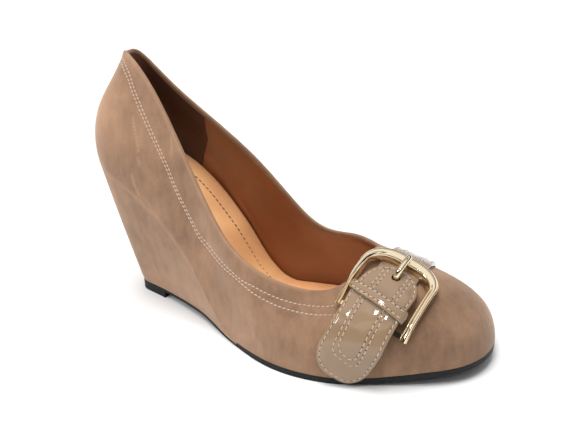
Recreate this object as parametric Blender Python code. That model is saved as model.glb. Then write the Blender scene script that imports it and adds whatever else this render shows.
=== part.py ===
"""Wedge pump for the right foot: a closed suede shoe on a covered wedge, with a patent strap and buckle.

Metres, +Z up, the toe towards +X and the big toe's side towards +Y. The origin is the middle of the
heel lift's underside, on the floor.
"""

import math
from collections import namedtuple

import bmesh
import bpy
import numpy as np
from mathutils import Vector
from mathutils.bvhtree import BVHTree

# Driving dimensions of the shoe
SOLE_LENGTH = 0.216  # back of the seat to the toe tip, seen from above
BALL_WIDTH = 0.083
SEAT_HEIGHT = 0.0782  # floor to the upper's lower edge at the back
BACK_HEIGHT = 0.059  # upper's lower edge to the collar at the back
THROAT_HEIGHT = 0.0467  # the same at the front of the opening
WALL = 0.0018  # suede and lining together
CLEARANCE = 0.0003  # between pieces that are glued or stitched together
INSOLE_THICKNESS = 0.0025
SOLE_THICKNESS = 0.003  # under the forefoot
SHANK_SOLE_THICKNESS = 0.0013  # the same sheet, skived thin under the wedge
TOE_SPRING = 0.006
LIFT_THICKNESS = 0.0052

# Strap, tab, keeper and buckle
FRAME_WIDTH = 0.0366
FRAME_TOP = -0.0045
FRAME_END = 0.038
FRAME_SLANT = 0.08  # the side towards the toe ends this share of its place higher
FRAME_LEG = 0.0033
FRAME_BAR = 0.0080  # the wide bar that the prong rests on
FRAME_CORNER = 0.0145
FRAME_HEIGHT = 0.0038
TAB_ROOM = 0.0024  # between the tab and each leg of the frame
TAB_WIDTH = FRAME_WIDTH - 2 * FRAME_LEG - 2 * TAB_ROOM
STRAP_INSET = 0.0028  # the strap is this much narrower than the tab on each side
STRAP_WIDTH = TAB_WIDTH - 2 * STRAP_INSET
STRAP_THICKNESS = 0.0019
STRAP_MIDDLE = -0.001  # fore of the buckle's middle
STRAP_END = 0.0185  # its outer end, hidden below the tab
STRAP_CUTS = 25
BAND_BEVEL = 0.3  # share of a band's thickness taken off its upper edges
TAB_THICKNESS = 0.0019
TAB_TOP = 0.006  # ends of the tab, measured down the outer side from the crown of the vamp
TAB_END = 0.0658
TAB_DRIFT = 0.0028  # how far the free end leans back from the buckle's middle
TAB_CORNER = 0.0095
TAB_TILT = 0.22  # at its end, the side towards the toe reaches this share of its place lower
TAB_START = 0.35  # radians round the tab's upper end, where its first cross-section is
TAB_TURN_CUTS = 6
TAB_CUTS = 14
KEEPER_WIDTH = 0.0052
KEEPER_TILT = 0.1  # its outer end lies this share lower than its inner one
KEEPER_THICKNESS = 0.0013
KEEPER_CORNER = 0.0009  # inside radius
KEEPER_CROWN = 0.0007  # how much higher its middle stands than its sides
KEEPER_PLACE = 0.0275
HEEL_BAR_WIDTH = 0.0022
HEEL_BAR_HEIGHT = 0.0016
PRONG_DIAMETER = 0.003
PRONG_HOLE = 0.0125
PRONG_TIP = 0.0006
PRONG_RUN = 0.0035  # from the hole to where it lies above the wide bar
PRONG_BEND = 0.0006
PRONG_CREST = 0.003  # where it stands highest

# Where the buckle sits: its core is a line through the vamp that slopes with the instep
BUCKLE_ALONG = 0.732  # share of the sole's length from the back of the seat
BUCKLE_RISE = 0.30  # share of the throat height
BUCKLE_SLOPE = math.radians(20)
BUCKLE_MIDDLE = 0.0035  # the frame's middle, along the core from its point above
VAMP_RADIUS = 0.037  # turns a distance round the vamp into an angle about the core

# One row for each rib, from the back round the outer side to the toe and home by the inner side.
# along, top_along, base_along: shares of SOLE_LENGTH; across: shares of BALL_WIDTH.
# back, throat: height of the opening's edge above the seat, shares of the two heights.
# rise, lean: handle at the lower edge, share of BACK_HEIGHT and degrees (over 90 swells outwards).
# fall, over: handle at the opening's edge, share of SOLE_LENGTH and degrees down from level.
# base: foot of the wedge. steps: facets as far as the next rib.
Rib = namedtuple(
    "Rib",
    "name along across top_along top_across back throat rise lean fall over base_along base_across steps",
)
RIBS = (
    Rib("back", 0.000, 0.000, 0.068, 0.000, 1.01, 0, 0.52, 101, 0.101, 71, 0.072, 0.000, 4),
    Rib("outer heel corner", 0.036, -0.267, 0.098, -0.082, 1.05, 0, 0.51, 101, 0.098, 67, 0.090, -0.140, 4),
    Rib("outer heel", 0.163, -0.345, 0.212, -0.205, 0.975, 0, 0.41, 97, 0.093, 80, 0.174, -0.195, 6),
    Rib("outer waist", 0.367, -0.392, 0.360, -0.347, 0.90, 0, 0.34, 88, 0.065, 85, 0.369, -0.356, 8),
    Rib("outer joint", 0.550, -0.540, 0.494, -0.449, 0, 1.00, 0.34, 90, 0.065, 80, 0.550, -0.540, 5),
    Rib("outer ball", 0.714, -0.520, 0.633, -0.367, 0, 0.78, 0.34, 92, 0.074, 50, 0.714, -0.520, 4),
    Rib("outer toe", 0.855, -0.360, 0.695, -0.205, 0, 0.81, 0.31, 90, 0.157, 30, 0.855, -0.360, 4),
    Rib("outer toe corner", 0.960, -0.180, 0.712, -0.080, 0, 0.95, 0.31, 88, 0.194, 22, 0.960, -0.180, 3),
    Rib("toe tip", 1.000, 0.063, 0.719, 0.032, 0, 1.00, 0.34, 85, 0.205, 17, 1.000, 0.063, 3),
    Rib("inner toe corner", 0.978, 0.292, 0.715, 0.140, 0, 0.96, 0.34, 88, 0.200, 26, 0.978, 0.292, 4),
    Rib("inner toe", 0.901, 0.434, 0.694, 0.238, 0, 0.88, 0.32, 90, 0.168, 38, 0.901, 0.434, 4),
    Rib("inner ball", 0.758, 0.480, 0.620, 0.311, 0, 0.87, 0.34, 92, 0.074, 52, 0.758, 0.480, 5),
    Rib("inner joint", 0.577, 0.435, 0.506, 0.340, 0, 0.91, 0.34, 90, 0.065, 80, 0.577, 0.435, 8),
    Rib("inner waist", 0.373, 0.325, 0.356, 0.288, 0.93, 0, 0.34, 88, 0.065, 85, 0.373, 0.300, 6),
    Rib("inner heel", 0.165, 0.320, 0.170, 0.203, 0.76, 0, 0.41, 96, 0.093, 80, 0.174, 0.192, 4),
    Rib("inner heel corner", 0.045, 0.247, 0.076, 0.124, 0.97, 0, 0.49, 99, 0.102, 74, 0.090, 0.138, 4),
)
ROWS = len(RIBS)
RIB_NAMES = [rib.name for rib in RIBS]
LIFT_ROW = RIB_NAMES.index("outer heel")  # the lift's front edge lies at this rib
WEDGE_ROW = RIB_NAMES.index("outer waist") + 0.5  # the wedge ends half way to the next rib

# The seat's fall from the heel: along the sole, and height as a share of SEAT_HEIGHT over the forefoot's
SEAT_LINE = ((0, 1), (0.09, 0.941), (0.156, 0.86), (0.224, 0.728), (0.312, 0.457), (0.3875, 0.136),
             (0.428, 0.031), (0.462, 0))
# The underside's height in the arch, as a share of what the lift leaves under the thin sole
ARCH_LINE = ((0.174, 1), (0.30, 1), (0.34, 0.8), (0.385, 0.3), (0.425, 0))
# The underside's rise to the toe, as a share of TOE_SPRING
SPRING_LINE = ((0.70, 0), (0.785, 0.2), (0.855, 0.5), (0.92, 0.82), (1, 1))

WALL_FACETS = 12  # from the upper's lower edge to the opening
WEDGE_FACETS = 3
DRAPE_FACETS = 30
DRAPE_SKIRT = 0.006  # the vamp's surface goes on this far below the upper, for what hangs over the edge
DRAPE_BEYOND = 1.09  # and as far as this height past the opening's edge, where the buckle overhangs it


def smooth_line(rows):
    """A curve through (place, value) rows that stays flat beyond both ends and never overshoots."""
    xs, ys = (np.array(column, float) for column in zip(*rows))
    width = np.diff(xs)
    slope = np.diff(ys) / width
    turn = np.zeros(len(xs))
    same = slope[:-1] * slope[1:] > 0
    weight_a = 2 * width[1:] + width[:-1]
    weight_b = width[1:] + 2 * width[:-1]
    first = np.where(same, slope[:-1], 1)
    second = np.where(same, slope[1:], 1)
    turn[1:-1] = np.where(same, (weight_a + weight_b) / (weight_a / first + weight_b / second), 0)

    def value(place):
        place = np.clip(place, xs[0], xs[-1])
        i = np.clip(np.searchsorted(xs, place, side="right") - 1, 0, len(width) - 1)
        t = (place - xs[i]) / width[i]
        rest = (1 - t) ** 2 * (1 + 2 * t) * ys[i] + t * t * (3 - 2 * t) * ys[i + 1]
        return rest + t * (1 - t) * width[i] * ((1 - t) * turn[i] - t * turn[i + 1])

    return value


def closed_spline(values):
    """A smooth closed curve through one row of values for each rib."""
    count = len(values)
    matrix = 4 * np.eye(count) + np.roll(np.eye(count), 1, 1) + np.roll(np.eye(count), -1, 1)
    turn = np.linalg.solve(matrix, 3 * (np.roll(values, -1, 0) - np.roll(values, 1, 0)))

    def value(row):
        row = np.atleast_1d(row)
        low = np.floor(row).astype(int)
        t = (row - low)[:, None]
        a, b = low % count, (low + 1) % count
        ends = (1 - t) ** 2 * (1 + 2 * t) * values[a] + t * t * (3 - 2 * t) * values[b]
        return ends + t * (1 - t) * ((1 - t) * turn[a] - t * turn[b])

    return value


seat_share = smooth_line(SEAT_LINE)
arch_share = smooth_line(ARCH_LINE)
spring_share = smooth_line(SPRING_LINE)
ARCH_HEIGHT = LIFT_THICKNESS - SHANK_SOLE_THICKNESS
BACK_EDGE = -0.5 * (RIBS[0].base_along + RIBS[LIFT_ROW].base_along) * SOLE_LENGTH


def along(x):
    """The share of the sole's length at x."""
    return (x - BACK_EDGE) / SOLE_LENGTH


def under_height(x):
    """Height of the sole's underside, which touches the floor under the ball."""
    return ARCH_HEIGHT * arch_share(along(x)) + TOE_SPRING * spring_share(along(x))


def seat_height(x):
    """Height of the surface that the upper and the insole stand on."""
    forefoot = SOLE_THICKNESS + CLEARANCE
    return (
        forefoot
        + TOE_SPRING * spring_share(along(x))
        + (SEAT_HEIGHT - forefoot) * seat_share(along(x))
    )


def seat_stretch(x):
    """How much longer the slope makes a distance across it when that is measured straight up."""
    step = 0.0005
    slope = (seat_height(x + step) - seat_height(x - step)) / (2 * step)
    return np.sqrt(1 + slope**2)


def rib_values():
    """The ribs' shares as metres and radians, one row each."""
    rows = []
    for rib in RIBS:
        top_x = BACK_EDGE + rib.top_along * SOLE_LENGTH
        top_z = seat_height(top_x) + rib.back * BACK_HEIGHT + rib.throat * THROAT_HEIGHT
        rows.append((
            BACK_EDGE + rib.along * SOLE_LENGTH,
            rib.across * BALL_WIDTH,
            top_x,
            rib.top_across * BALL_WIDTH,
            top_z,
            rib.rise * BACK_HEIGHT,
            math.radians(rib.lean),
            rib.fall * SOLE_LENGTH,
            math.radians(rib.over),
            BACK_EDGE + rib.base_along * SOLE_LENGTH,
            rib.base_across * BALL_WIDTH,
        ))
    return np.array(rows)


rib_curve = closed_spline(rib_values())


def outward(row):
    """Level direction out of the shoe, square to its lower edge."""
    step = 0.001
    run = rib_curve(row + step)[:, :2] - rib_curve(row - step)[:, :2]
    out = np.stack([run[:, 1], -run[:, 0], np.zeros(len(run))], 1)
    return out / np.linalg.norm(out, axis=1)[:, None]


def lower_edge(row):
    values = rib_curve(row)
    return np.stack([values[:, 0], values[:, 1], seat_height(values[:, 0])], 1)


def skin(row, height):
    """The upper's outer surface: ribs by heights, height 0 at the lower edge and 1 at the opening."""
    values = rib_curve(row)
    out, up = outward(row), np.array([0, 0, 1.0])
    lean, over = values[:, 6:7], values[:, 8:9]
    foot = lower_edge(row)
    top = values[:, 2:5]
    first = foot + values[:, 5:6] * (np.sin(lean) * up - np.cos(lean) * out)
    second = top + values[:, 7:8] * (np.cos(over) * out - np.sin(over) * up)
    t = np.asarray(height)[None, :, None]
    ends = (1 - t) ** 3 * foot[:, None] + t**3 * top[:, None]
    return ends + 3 * t * (1 - t) * ((1 - t) * first[:, None] + t * second[:, None])


def skin_normals(row, height):
    """Unit directions out of the upper's outer surface."""
    step = 0.001
    round_run = skin(row + step, height) - skin(row - step, height)
    rise_run = skin(row, height + step) - skin(row, height - step)
    normal = np.cross(round_run, rise_run)
    return normal / np.linalg.norm(normal, axis=2, keepdims=True)


def rib_rows():
    """Every facet's place round the shoe, counted in ribs. Place k and place -k face each other."""
    return np.array([i + k / rib.steps for i, rib in enumerate(RIBS) for k in range(rib.steps)])


def material(name, colour, roughness, metallic=0.0, coat=0.0):
    made = bpy.data.materials.new(name)
    made.use_nodes = True
    shader = made.node_tree.nodes["Principled BSDF"]
    shader.inputs["Base Color"].default_value = (*colour, 1)
    shader.inputs["Roughness"].default_value = roughness
    shader.inputs["Metallic"].default_value = metallic
    shader.inputs["Coat Weight"].default_value = coat
    return made


def add_mesh(name, points, faces, finish, parts, sharp=40):
    """A closed mesh object whose faces point outwards."""
    mesh = bpy.data.meshes.new(name)
    mesh.from_pydata([tuple(p) for p in points], [], [tuple(f) for f in faces])
    work = bmesh.new()
    work.from_mesh(mesh)
    bmesh.ops.recalc_face_normals(work, faces=work.faces)
    work.to_mesh(mesh)
    work.free()
    mesh.shade_smooth()
    mesh.set_sharp_from_angle(angle=math.radians(sharp))
    mesh.materials.append(finish)
    made = bpy.data.objects.new(name, mesh)
    parts.objects.link(made)
    return made


def slab(levels):
    """Points and faces of a solid whose levels are outlines of paired points.

    An outline is a list of stations from back to front: one point at a tip, or an outer and an inner
    point. The lowest and highest outlines are closed by strips between their stations.
    """
    sizes = [len(station) for station in levels[0]]
    first = np.concatenate([[0], np.cumsum(sizes)[:-1]])
    count = sum(sizes)
    points = [point for outline in levels for station in outline for point in station]
    outer = [int(start) for start in first]
    inner = [int(start + size - 1) for start, size in zip(first, sizes)]
    loop = list(dict.fromkeys(outer + inner[::-1]))
    faces = []
    for base in range(0, count * (len(levels) - 1), count):
        for a, b in zip(loop, loop[1:] + loop[:1]):
            faces.append((base + a, base + b, base + count + b, base + count + a))
    for base in (0, count * (len(levels) - 1)):
        for i in range(len(sizes) - 1):
            for face in ((outer[i], inner[i], inner[i + 1]), (outer[i], inner[i + 1], outer[i + 1])):
                if len(set(face)) == 3:
                    faces.append(tuple(base + k for k in face))
    return points, faces


def stations(outline, first, last):
    """Pairs the points of a closed outline, from place first to place last."""
    count = len(outline)
    return [
        [outline[k]] if k in (0, count // 2) else [outline[k], outline[count - k]]
        for k in range(first, last + 1)
    ]


def with_height(outline, heights):
    return np.stack([outline[:, 0], outline[:, 1], np.broadcast_to(heights, len(outline))], 1)


def base_outline(rows):
    return rib_curve(rows)[:, 9:11]


def make_outsole(rows, finish, parts):
    """The black sheet: thin under the wedge, full in front of it, with a step that the wedge butts on."""
    base = base_outline(rows)
    low = with_height(base, under_height(base[:, 0]))
    lift, wedge = (int(np.argmin(abs(rows - row))) for row in (LIFT_ROW, WEDGE_ROW))
    toe = len(rows) // 2
    thin = np.array([0, 0, SHANK_SOLE_THICKNESS])
    full = np.array([0, 0, SOLE_THICKNESS])
    ahead = np.array([CLEARANCE, 0, 0])
    shank = stations(low, lift, wedge)
    shank[0] = [point + ahead for point in shank[0]]
    front = stations(low, wedge, toe)
    front[0] = [point + ahead for point in front[0]]
    bottom = shank + front
    top = [[p + thin for p in pair] for pair in shank] + [[p + full for p in pair] for pair in front]
    return add_mesh("outsole", *slab([bottom, top]), finish, parts)


def make_lift(rows, finish, parts):
    """The hard piece under the heel, with the wedge's own outline and a straight front."""
    lift = int(np.argmin(abs(rows - LIFT_ROW)))
    base = base_outline(rows)
    levels = [stations(with_height(base, z), 0, lift) for z in (0, LIFT_THICKNESS)]
    return add_mesh("heel_lift", *slab(levels), finish, parts)


def make_wedge(rows, finish, parts):
    """The covered wedge: it stands on the lift and the thin sole, and carries the seat."""
    base = base_outline(rows)
    foot = with_height(base, under_height(base[:, 0]) + SHANK_SOLE_THICKNESS + CLEARANCE)
    seat = lower_edge(rows)
    seat[:, 2] -= CLEARANCE * seat_stretch(seat[:, 0])
    wedge = int(np.argmin(abs(rows - WEDGE_ROW)))
    shares = np.linspace(0, 1, WEDGE_FACETS + 1)
    levels = [stations(foot + share * (seat - foot), 0, wedge) for share in shares]
    return add_mesh("wedge", *slab(levels), finish, parts)


def make_insole(rows, finish, parts):
    """The padded board inside the upper, following the seat."""
    edge = lower_edge(rows) - (WALL + 2 * CLEARANCE) * outward(rows)
    low = with_height(edge, seat_height(edge[:, 0]))
    high = with_height(edge, low[:, 2] + INSOLE_THICKNESS * seat_stretch(edge[:, 0]))
    levels = [stations(level, 0, len(rows) // 2) for level in (low, high)]
    return add_mesh("insole", *slab(levels), finish, parts)


def make_upper(rows, finish, parts):
    """One wall all round, open at the collar and underneath."""
    heights = np.linspace(0, 1, WALL_FACETS + 1)
    outside = skin(rows, heights)
    inside = outside - WALL * skin_normals(rows, heights)
    inside[:, 0] = outside[:, 0] - WALL * outward(rows)
    inside[:, 0, 2] = seat_height(inside[:, 0, 0])
    around, levels = len(rows), WALL_FACETS + 1
    points = np.concatenate([outside.reshape(-1, 3), inside.reshape(-1, 3)])
    shell = around * levels
    faces = []
    for i in range(around):
        j = (i + 1) % around
        for k in range(WALL_FACETS):
            corners = (i * levels + k, j * levels + k, j * levels + k + 1, i * levels + k + 1)
            faces.append(corners)
            faces.append(tuple(shell + c for c in reversed(corners)))
        for k in (0, WALL_FACETS):
            faces.append((i * levels + k, j * levels + k, shell + j * levels + k, shell + i * levels + k))
    return add_mesh("upper", points, faces, finish, parts, sharp=50)


class Vamp:
    """Places points on the vamp by (fore, round, lift): along the core, round it, and off the skin.

    Fore is measured from the buckle's middle towards the toe, round from the crown down the outer
    side, and lift straight off the upper's outer surface.
    """

    def __init__(self, rows):
        heights = np.linspace(0, DRAPE_BEYOND, DRAPE_FACETS + 1)
        fine = np.concatenate([rows, rows + 0.5 * np.diff(rows, append=ROWS)])
        fine.sort()
        grid = skin(fine, heights)
        skirt = grid[:, :1] - np.array([0, 0, DRAPE_SKIRT])
        grid = np.concatenate([skirt, grid], 1)
        around, levels = grid.shape[:2]
        faces = []
        for i in range(around):
            this, after = i * levels, (i + 1) % around * levels
            for k in range(levels - 1):
                faces.append((this + k, after + k, after + k + 1, this + k + 1))
        self.tree = BVHTree.FromPolygons(grid.reshape(-1, 3).tolist(), faces)
        self.axis = Vector((math.cos(BUCKLE_SLOPE), 0, -math.sin(BUCKLE_SLOPE)))
        self.up = Vector((math.sin(BUCKLE_SLOPE), 0, math.cos(BUCKLE_SLOPE)))
        start = BACK_EDGE + BUCKLE_ALONG * SOLE_LENGTH
        self.core = Vector((start, 0, BUCKLE_RISE * THROAT_HEIGHT)) + BUCKLE_MIDDLE * self.axis

    def on_skin(self, fore, round_):
        angle = round_ / VAMP_RADIUS
        aim = self.up * math.cos(angle) - Vector((0, math.sin(angle), 0))
        hit = self.tree.ray_cast(self.core + self.axis * fore, aim)[0]
        if hit is None:
            raise ValueError(f"nothing of the vamp lies at {fore}, {round_}")
        return hit

    def normal(self, fore, round_, reach=0.002):
        """Square to the skin, taken over a short reach so that it turns smoothly."""
        fore_run = self.on_skin(fore + reach, round_) - self.on_skin(fore - reach, round_)
        round_run = self.on_skin(fore, round_ + reach) - self.on_skin(fore, round_ - reach)
        return round_run.cross(fore_run).normalized()

    def place(self, fore, round_, lift):
        return self.on_skin(fore, round_) + self.normal(fore, round_) * lift

    def foot_round(self, fore):
        """Where the inner side's skin comes down to just above the outsole."""
        high, low = -0.5 * VAMP_RADIUS, -1.9 * VAMP_RADIUS
        for _ in range(30):
            middle = 0.5 * (high + low)
            point = self.on_skin(fore, middle)
            if point.z > seat_height(point.x) + CLEARANCE:
                high = middle
            else:
                low = middle
        return high


STRAP_LIFT = CLEARANCE + 0.0002  # a faceted band dips this much between its sections
FRAME_LIFT = STRAP_LIFT + STRAP_THICKNESS + CLEARANCE
# The tab's underside, from the rounded end in the frame, over keeper and heel bar, down to the skin
TAB_LIFT = smooth_line((
    (TAB_TOP, FRAME_LIFT),
    (PRONG_HOLE, FRAME_LIFT),
    (KEEPER_PLACE - KEEPER_WIDTH, FRAME_LIFT + KEEPER_THICKNESS + CLEARANCE),
    (KEEPER_PLACE + KEEPER_WIDTH, FRAME_LIFT + HEEL_BAR_HEIGHT + CLEARANCE),
    (FRAME_END + 2 * HEEL_BAR_WIDTH, FRAME_LIFT + HEEL_BAR_HEIGHT + CLEARANCE),
    (TAB_END - TAB_CORNER / 2, 2 * CLEARANCE),
    (TAB_END, 2 * CLEARANCE),
))
BAND_ACROSS = (-1, -0.94, -0.5, 0, 0.5, 0.94, 1)


def band_section(vamp, middle, half, round_at, low, high):
    """One cross-section of a flat band, its outer corners a little rounded."""
    edge = BAND_BEVEL * (high - low)
    under = [(share, low) for share in BAND_ACROSS]
    over = [(share, high - edge if abs(share) == 1 else high) for share in reversed(BAND_ACROSS)]
    return [vamp.place(middle + share * half, round_at(share), lift) for share, lift in under + over]


def loft(sections):
    """Points and faces of a solid from closed sections of equal count, with flat ends."""
    count = len(sections[0])
    points = [point for section in sections for point in section]
    faces = [tuple(range(count)), tuple(range(len(points) - 1, len(points) - count - 1, -1))]
    for base in range(0, len(points) - count, count):
        for k in range(count):
            after = (k + 1) % count
            faces.append((base + k, base + after, base + count + after, base + count + k))
    return points, faces


def make_strap(vamp, finish, parts):
    """From the sole's inner edge over the vamp and under the buckle, to below the tab."""
    half = STRAP_WIDTH / 2
    feet = {share: vamp.foot_round(STRAP_MIDDLE + share * half) for share in BAND_ACROSS}
    sections = [
        band_section(
            vamp, STRAP_MIDDLE, half,
            lambda share, way=way: feet[share] + way * (STRAP_END - feet[share]),
            STRAP_LIFT, STRAP_LIFT + STRAP_THICKNESS,
        )
        for way in np.linspace(0, 1, STRAP_CUTS)
    ]
    return add_mesh("strap", *loft(sections), finish, parts)


def tab_half_width(round_):
    """Half the tab's width: a half circle at the top, and a blunt end with rounded corners."""
    half = TAB_WIDTH / 2
    from_top = min(round_ - TAB_TOP, half)
    from_end = min(TAB_END - round_, TAB_CORNER)
    top = math.sqrt(max(half**2 - (half - from_top) ** 2, 0))
    end = half - TAB_CORNER + math.sqrt(max(TAB_CORNER**2 - (TAB_CORNER - from_end) ** 2, 0))
    return min(top, end)


def tab_past(round_):
    """Share of the tab's run from above the keeper to its end."""
    straight = KEEPER_PLACE - 1.5 * KEEPER_WIDTH
    return max(round_ - straight, 0) / (TAB_END - straight)


def tab_middle(round_):
    return -TAB_DRIFT * tab_past(round_)


def tab_round(round_, beside):
    """Where a place on the tab lies round the vamp, this far beside the tab's middle."""
    return round_ + TAB_TILT * min(2 * tab_past(round_), 1) * beside


def make_tab(vamp, finish, parts, cutters):
    """The loose-ended strap that lies on the strap, through the keeper and over the heel bar."""
    half = TAB_WIDTH / 2
    quarter = math.pi / 2
    top_turns = np.linspace(TAB_START, quarter, TAB_TURN_CUTS)
    end_turns = np.linspace(quarter, 0, TAB_TURN_CUTS)
    top_places = [TAB_TOP + half * (1 - math.cos(a)) for a in top_turns]
    end_places = [TAB_END - TAB_CORNER * (1 - math.cos(a)) for a in end_turns]
    middle_places = np.linspace(top_places[-1], end_places[0], TAB_CUTS)[1:-1]
    sections = []
    for place in (*top_places, *middle_places, *end_places):
        low, width = float(TAB_LIFT(place)), tab_half_width(place)
        sections.append(band_section(
            vamp, tab_middle(place), width,
            lambda share, at=place, width=width: tab_round(at, share * width),
            low, low + TAB_THICKNESS,
        ))
    tab = add_mesh("strap_tab", *loft(sections), finish, parts)
    hole = add_cylinder(
        vamp, "prong_hole", PRONG_HOLE, PRONG_DIAMETER / 2 + 2 * CLEARANCE, 4 * TAB_THICKNESS, cutters
    )
    cut = tab.modifiers.new("prong hole", "BOOLEAN")
    cut.operation = "DIFFERENCE"
    cut.solver = "EXACT"
    cut.object = hole
    return tab


def add_cylinder(vamp, name, round_, radius, length, cutters):
    """A cutter standing square on the vamp, on the buckle's middle line."""
    work = bmesh.new()
    bmesh.ops.create_cone(
        work, cap_ends=True, segments=16, radius1=radius, radius2=radius, depth=length
    )
    mesh = bpy.data.meshes.new(name)
    work.to_mesh(mesh)
    work.free()
    made = bpy.data.objects.new(name, mesh)
    made.location = vamp.place(0, round_, FRAME_LIFT + TAB_THICKNESS / 2)
    made.rotation_euler = vamp.normal(0, round_).to_track_quat("Z", "Y").to_euler()
    made.hide_render = True
    made.display_type = "WIRE"
    cutters.objects.link(made)
    return made


def make_keeper(vamp, finish, parts):
    """A loop of the same patent round the tab, with a rounded top."""
    half = TAB_WIDTH / 2 + CLEARANCE
    low = FRAME_LIFT
    high = float(TAB_LIFT(KEEPER_PLACE + KEEPER_WIDTH / 2)) + TAB_THICKNESS + 2 * CLEARANCE
    thick = KEEPER_THICKNESS
    corner = KEEPER_CORNER
    inner, outer = [], []
    for side, turn in ((1, -90), (1, 0), (-1, 90), (-1, 180)):
        upper = turn in (0, 90)
        centre_lift = high - corner if upper else low + thick + corner
        for a in np.radians(turn + np.array([0, 30, 60, 90])):
            ray = (math.cos(a), math.sin(a))
            inner.append((side * (half - corner) + corner * ray[0], centre_lift + corner * ray[1]))
            outer.append((
                side * (half - corner) + (corner + thick) * ray[0],
                centre_lift + (corner + thick) * ray[1],
            ))
    crown = 4
    for path in (inner, outer):
        after_right = path[7]
        before_left = path[8]
        filled = [
            (after_right[0] + (before_left[0] - after_right[0]) * k / crown, after_right[1])
            for k in range(1, crown)
        ]
        path[8:8] = filled
        under = [
            (path[-1][0] + (path[0][0] - path[-1][0]) * k / crown, path[-1][1])
            for k in range(1, crown)
        ]
        path.extend(under)
    count = len(inner)
    points = []
    for path in (inner, outer):
        for end in (-0.5, 0.5):
            for fore, lift in path:
                round_ = KEEPER_PLACE + KEEPER_TILT * fore + end * KEEPER_WIDTH
                rise = KEEPER_CROWN * max(1 - (fore / half) ** 2, 0) if lift > (low + high) / 2 else 0
                points.append(vamp.place(tab_middle(round_) + fore, round_, lift + rise))
    faces = []
    for k in range(count):
        after = (k + 1) % count
        faces.append((k, after, count + after, count + k))
        faces.append((3 * count + k, 3 * count + after, 2 * count + after, 2 * count + k))
        faces.append((2 * count + k, 2 * count + after, after, k))
        faces.append((count + k, count + after, 3 * count + after, 3 * count + k))
    return add_mesh("keeper", points, faces, finish, parts)


def frame_path():
    """The frame's middle line with its half widths: up one leg, round the top and down the other."""
    side = (FRAME_WIDTH - FRAME_LEG) / 2
    radius = FRAME_CORNER
    back_leg, front_leg = [
        [(fore, place, FRAME_LEG / 2, (np.sign(fore), 0))
         for place in np.linspace(FRAME_END - FRAME_SLANT * fore, FRAME_TOP + radius, 6)[:-1]]
        for fore in (-side, side)
    ]
    path = back_leg
    for start, sign in ((0, -1), (math.pi / 2, 1)):
        turns = np.linspace(start, start + math.pi / 2, 7)
        for a in turns:
            out = (-math.cos(a), -math.sin(a))
            bar = FRAME_LEG / 2 + (FRAME_BAR - FRAME_LEG) / 2 * math.sin(a)
            reach_fore = radius - FRAME_LEG / 2
            reach_round = radius - FRAME_BAR / 2
            centre = sign * (FRAME_WIDTH / 2 - radius)
            path.append((
                centre + reach_fore * out[0], FRAME_TOP + radius + reach_round * out[1], bar, out,
            ))
    return path + front_leg[::-1]


def make_frame(vamp, finish, parts, cutters):
    """The cast frame: a domed section along its path, joined by a low heel bar under the tab."""
    low, high = FRAME_LIFT, FRAME_LIFT + FRAME_HEIGHT
    section = ((1, 0), (1, 0.45), (0.75, 0.85), (0.2, 1), (-0.5, 1), (-0.92, 0.85), (-1, 0.7), (-1, 0))
    sections = []
    for fore, round_, half, out in frame_path():
        sections.append([
            vamp.place(fore + out[0] * half * share, round_ + out[1] * half * share, low + (high - low) * up)
            for share, up in section
        ])
    frame = add_mesh("buckle_frame", *loft(sections), finish, parts)
    side = FRAME_WIDTH / 2 - FRAME_LEG / 2
    under, over = low + CLEARANCE / 2, low + HEEL_BAR_HEIGHT
    bar = []
    for fore in np.linspace(-side, side, 9):
        far = FRAME_END - FRAME_SLANT * fore - CLEARANCE
        near = far - HEEL_BAR_WIDTH
        corners = ((near, under), (far, under), (far, over), (near, over))
        bar.append([vamp.place(fore, *corner) for corner in corners])
    heel_bar = add_mesh("heel_bar", *loft(bar), finish, cutters)
    heel_bar.hide_render = True
    heel_bar.display_type = "WIRE"
    join = frame.modifiers.new("heel bar", "BOOLEAN")
    join.operation = "UNION"
    join.solver = "EXACT"
    join.object = heel_bar
    return frame


def make_prong(vamp, finish, parts):
    """The pin: up through the tab's hole and over the wide bar."""
    radius = PRONG_DIAMETER / 2
    over = FRAME_LIFT + FRAME_HEIGHT + CLEARANCE + radius
    inside = FRAME_LIFT + TAB_THICKNESS
    bend = PRONG_HOLE - PRONG_RUN
    route = (
        (PRONG_HOLE, FRAME_LIFT + CLEARANCE), (PRONG_HOLE, inside),
        (PRONG_HOLE - PRONG_BEND, inside + radius), (bend, over),
        (PRONG_CREST, over + radius / 3), (PRONG_TIP, over),
    )
    points = [vamp.place(0, round_, lift) for round_, lift in route]
    curve = bpy.data.curves.new("buckle_prong", "CURVE")
    curve.dimensions = "3D"
    curve.bevel_depth = radius
    curve.bevel_resolution = 3
    curve.use_fill_caps = True
    spline = curve.splines.new("POLY")
    spline.points.add(len(points) - 1)
    for knot, point in zip(spline.points, points):
        knot.co = (*point, 1)
    curve.materials.append(finish)
    made = bpy.data.objects.new("buckle_prong", curve)
    parts.objects.link(made)
    return made


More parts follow.
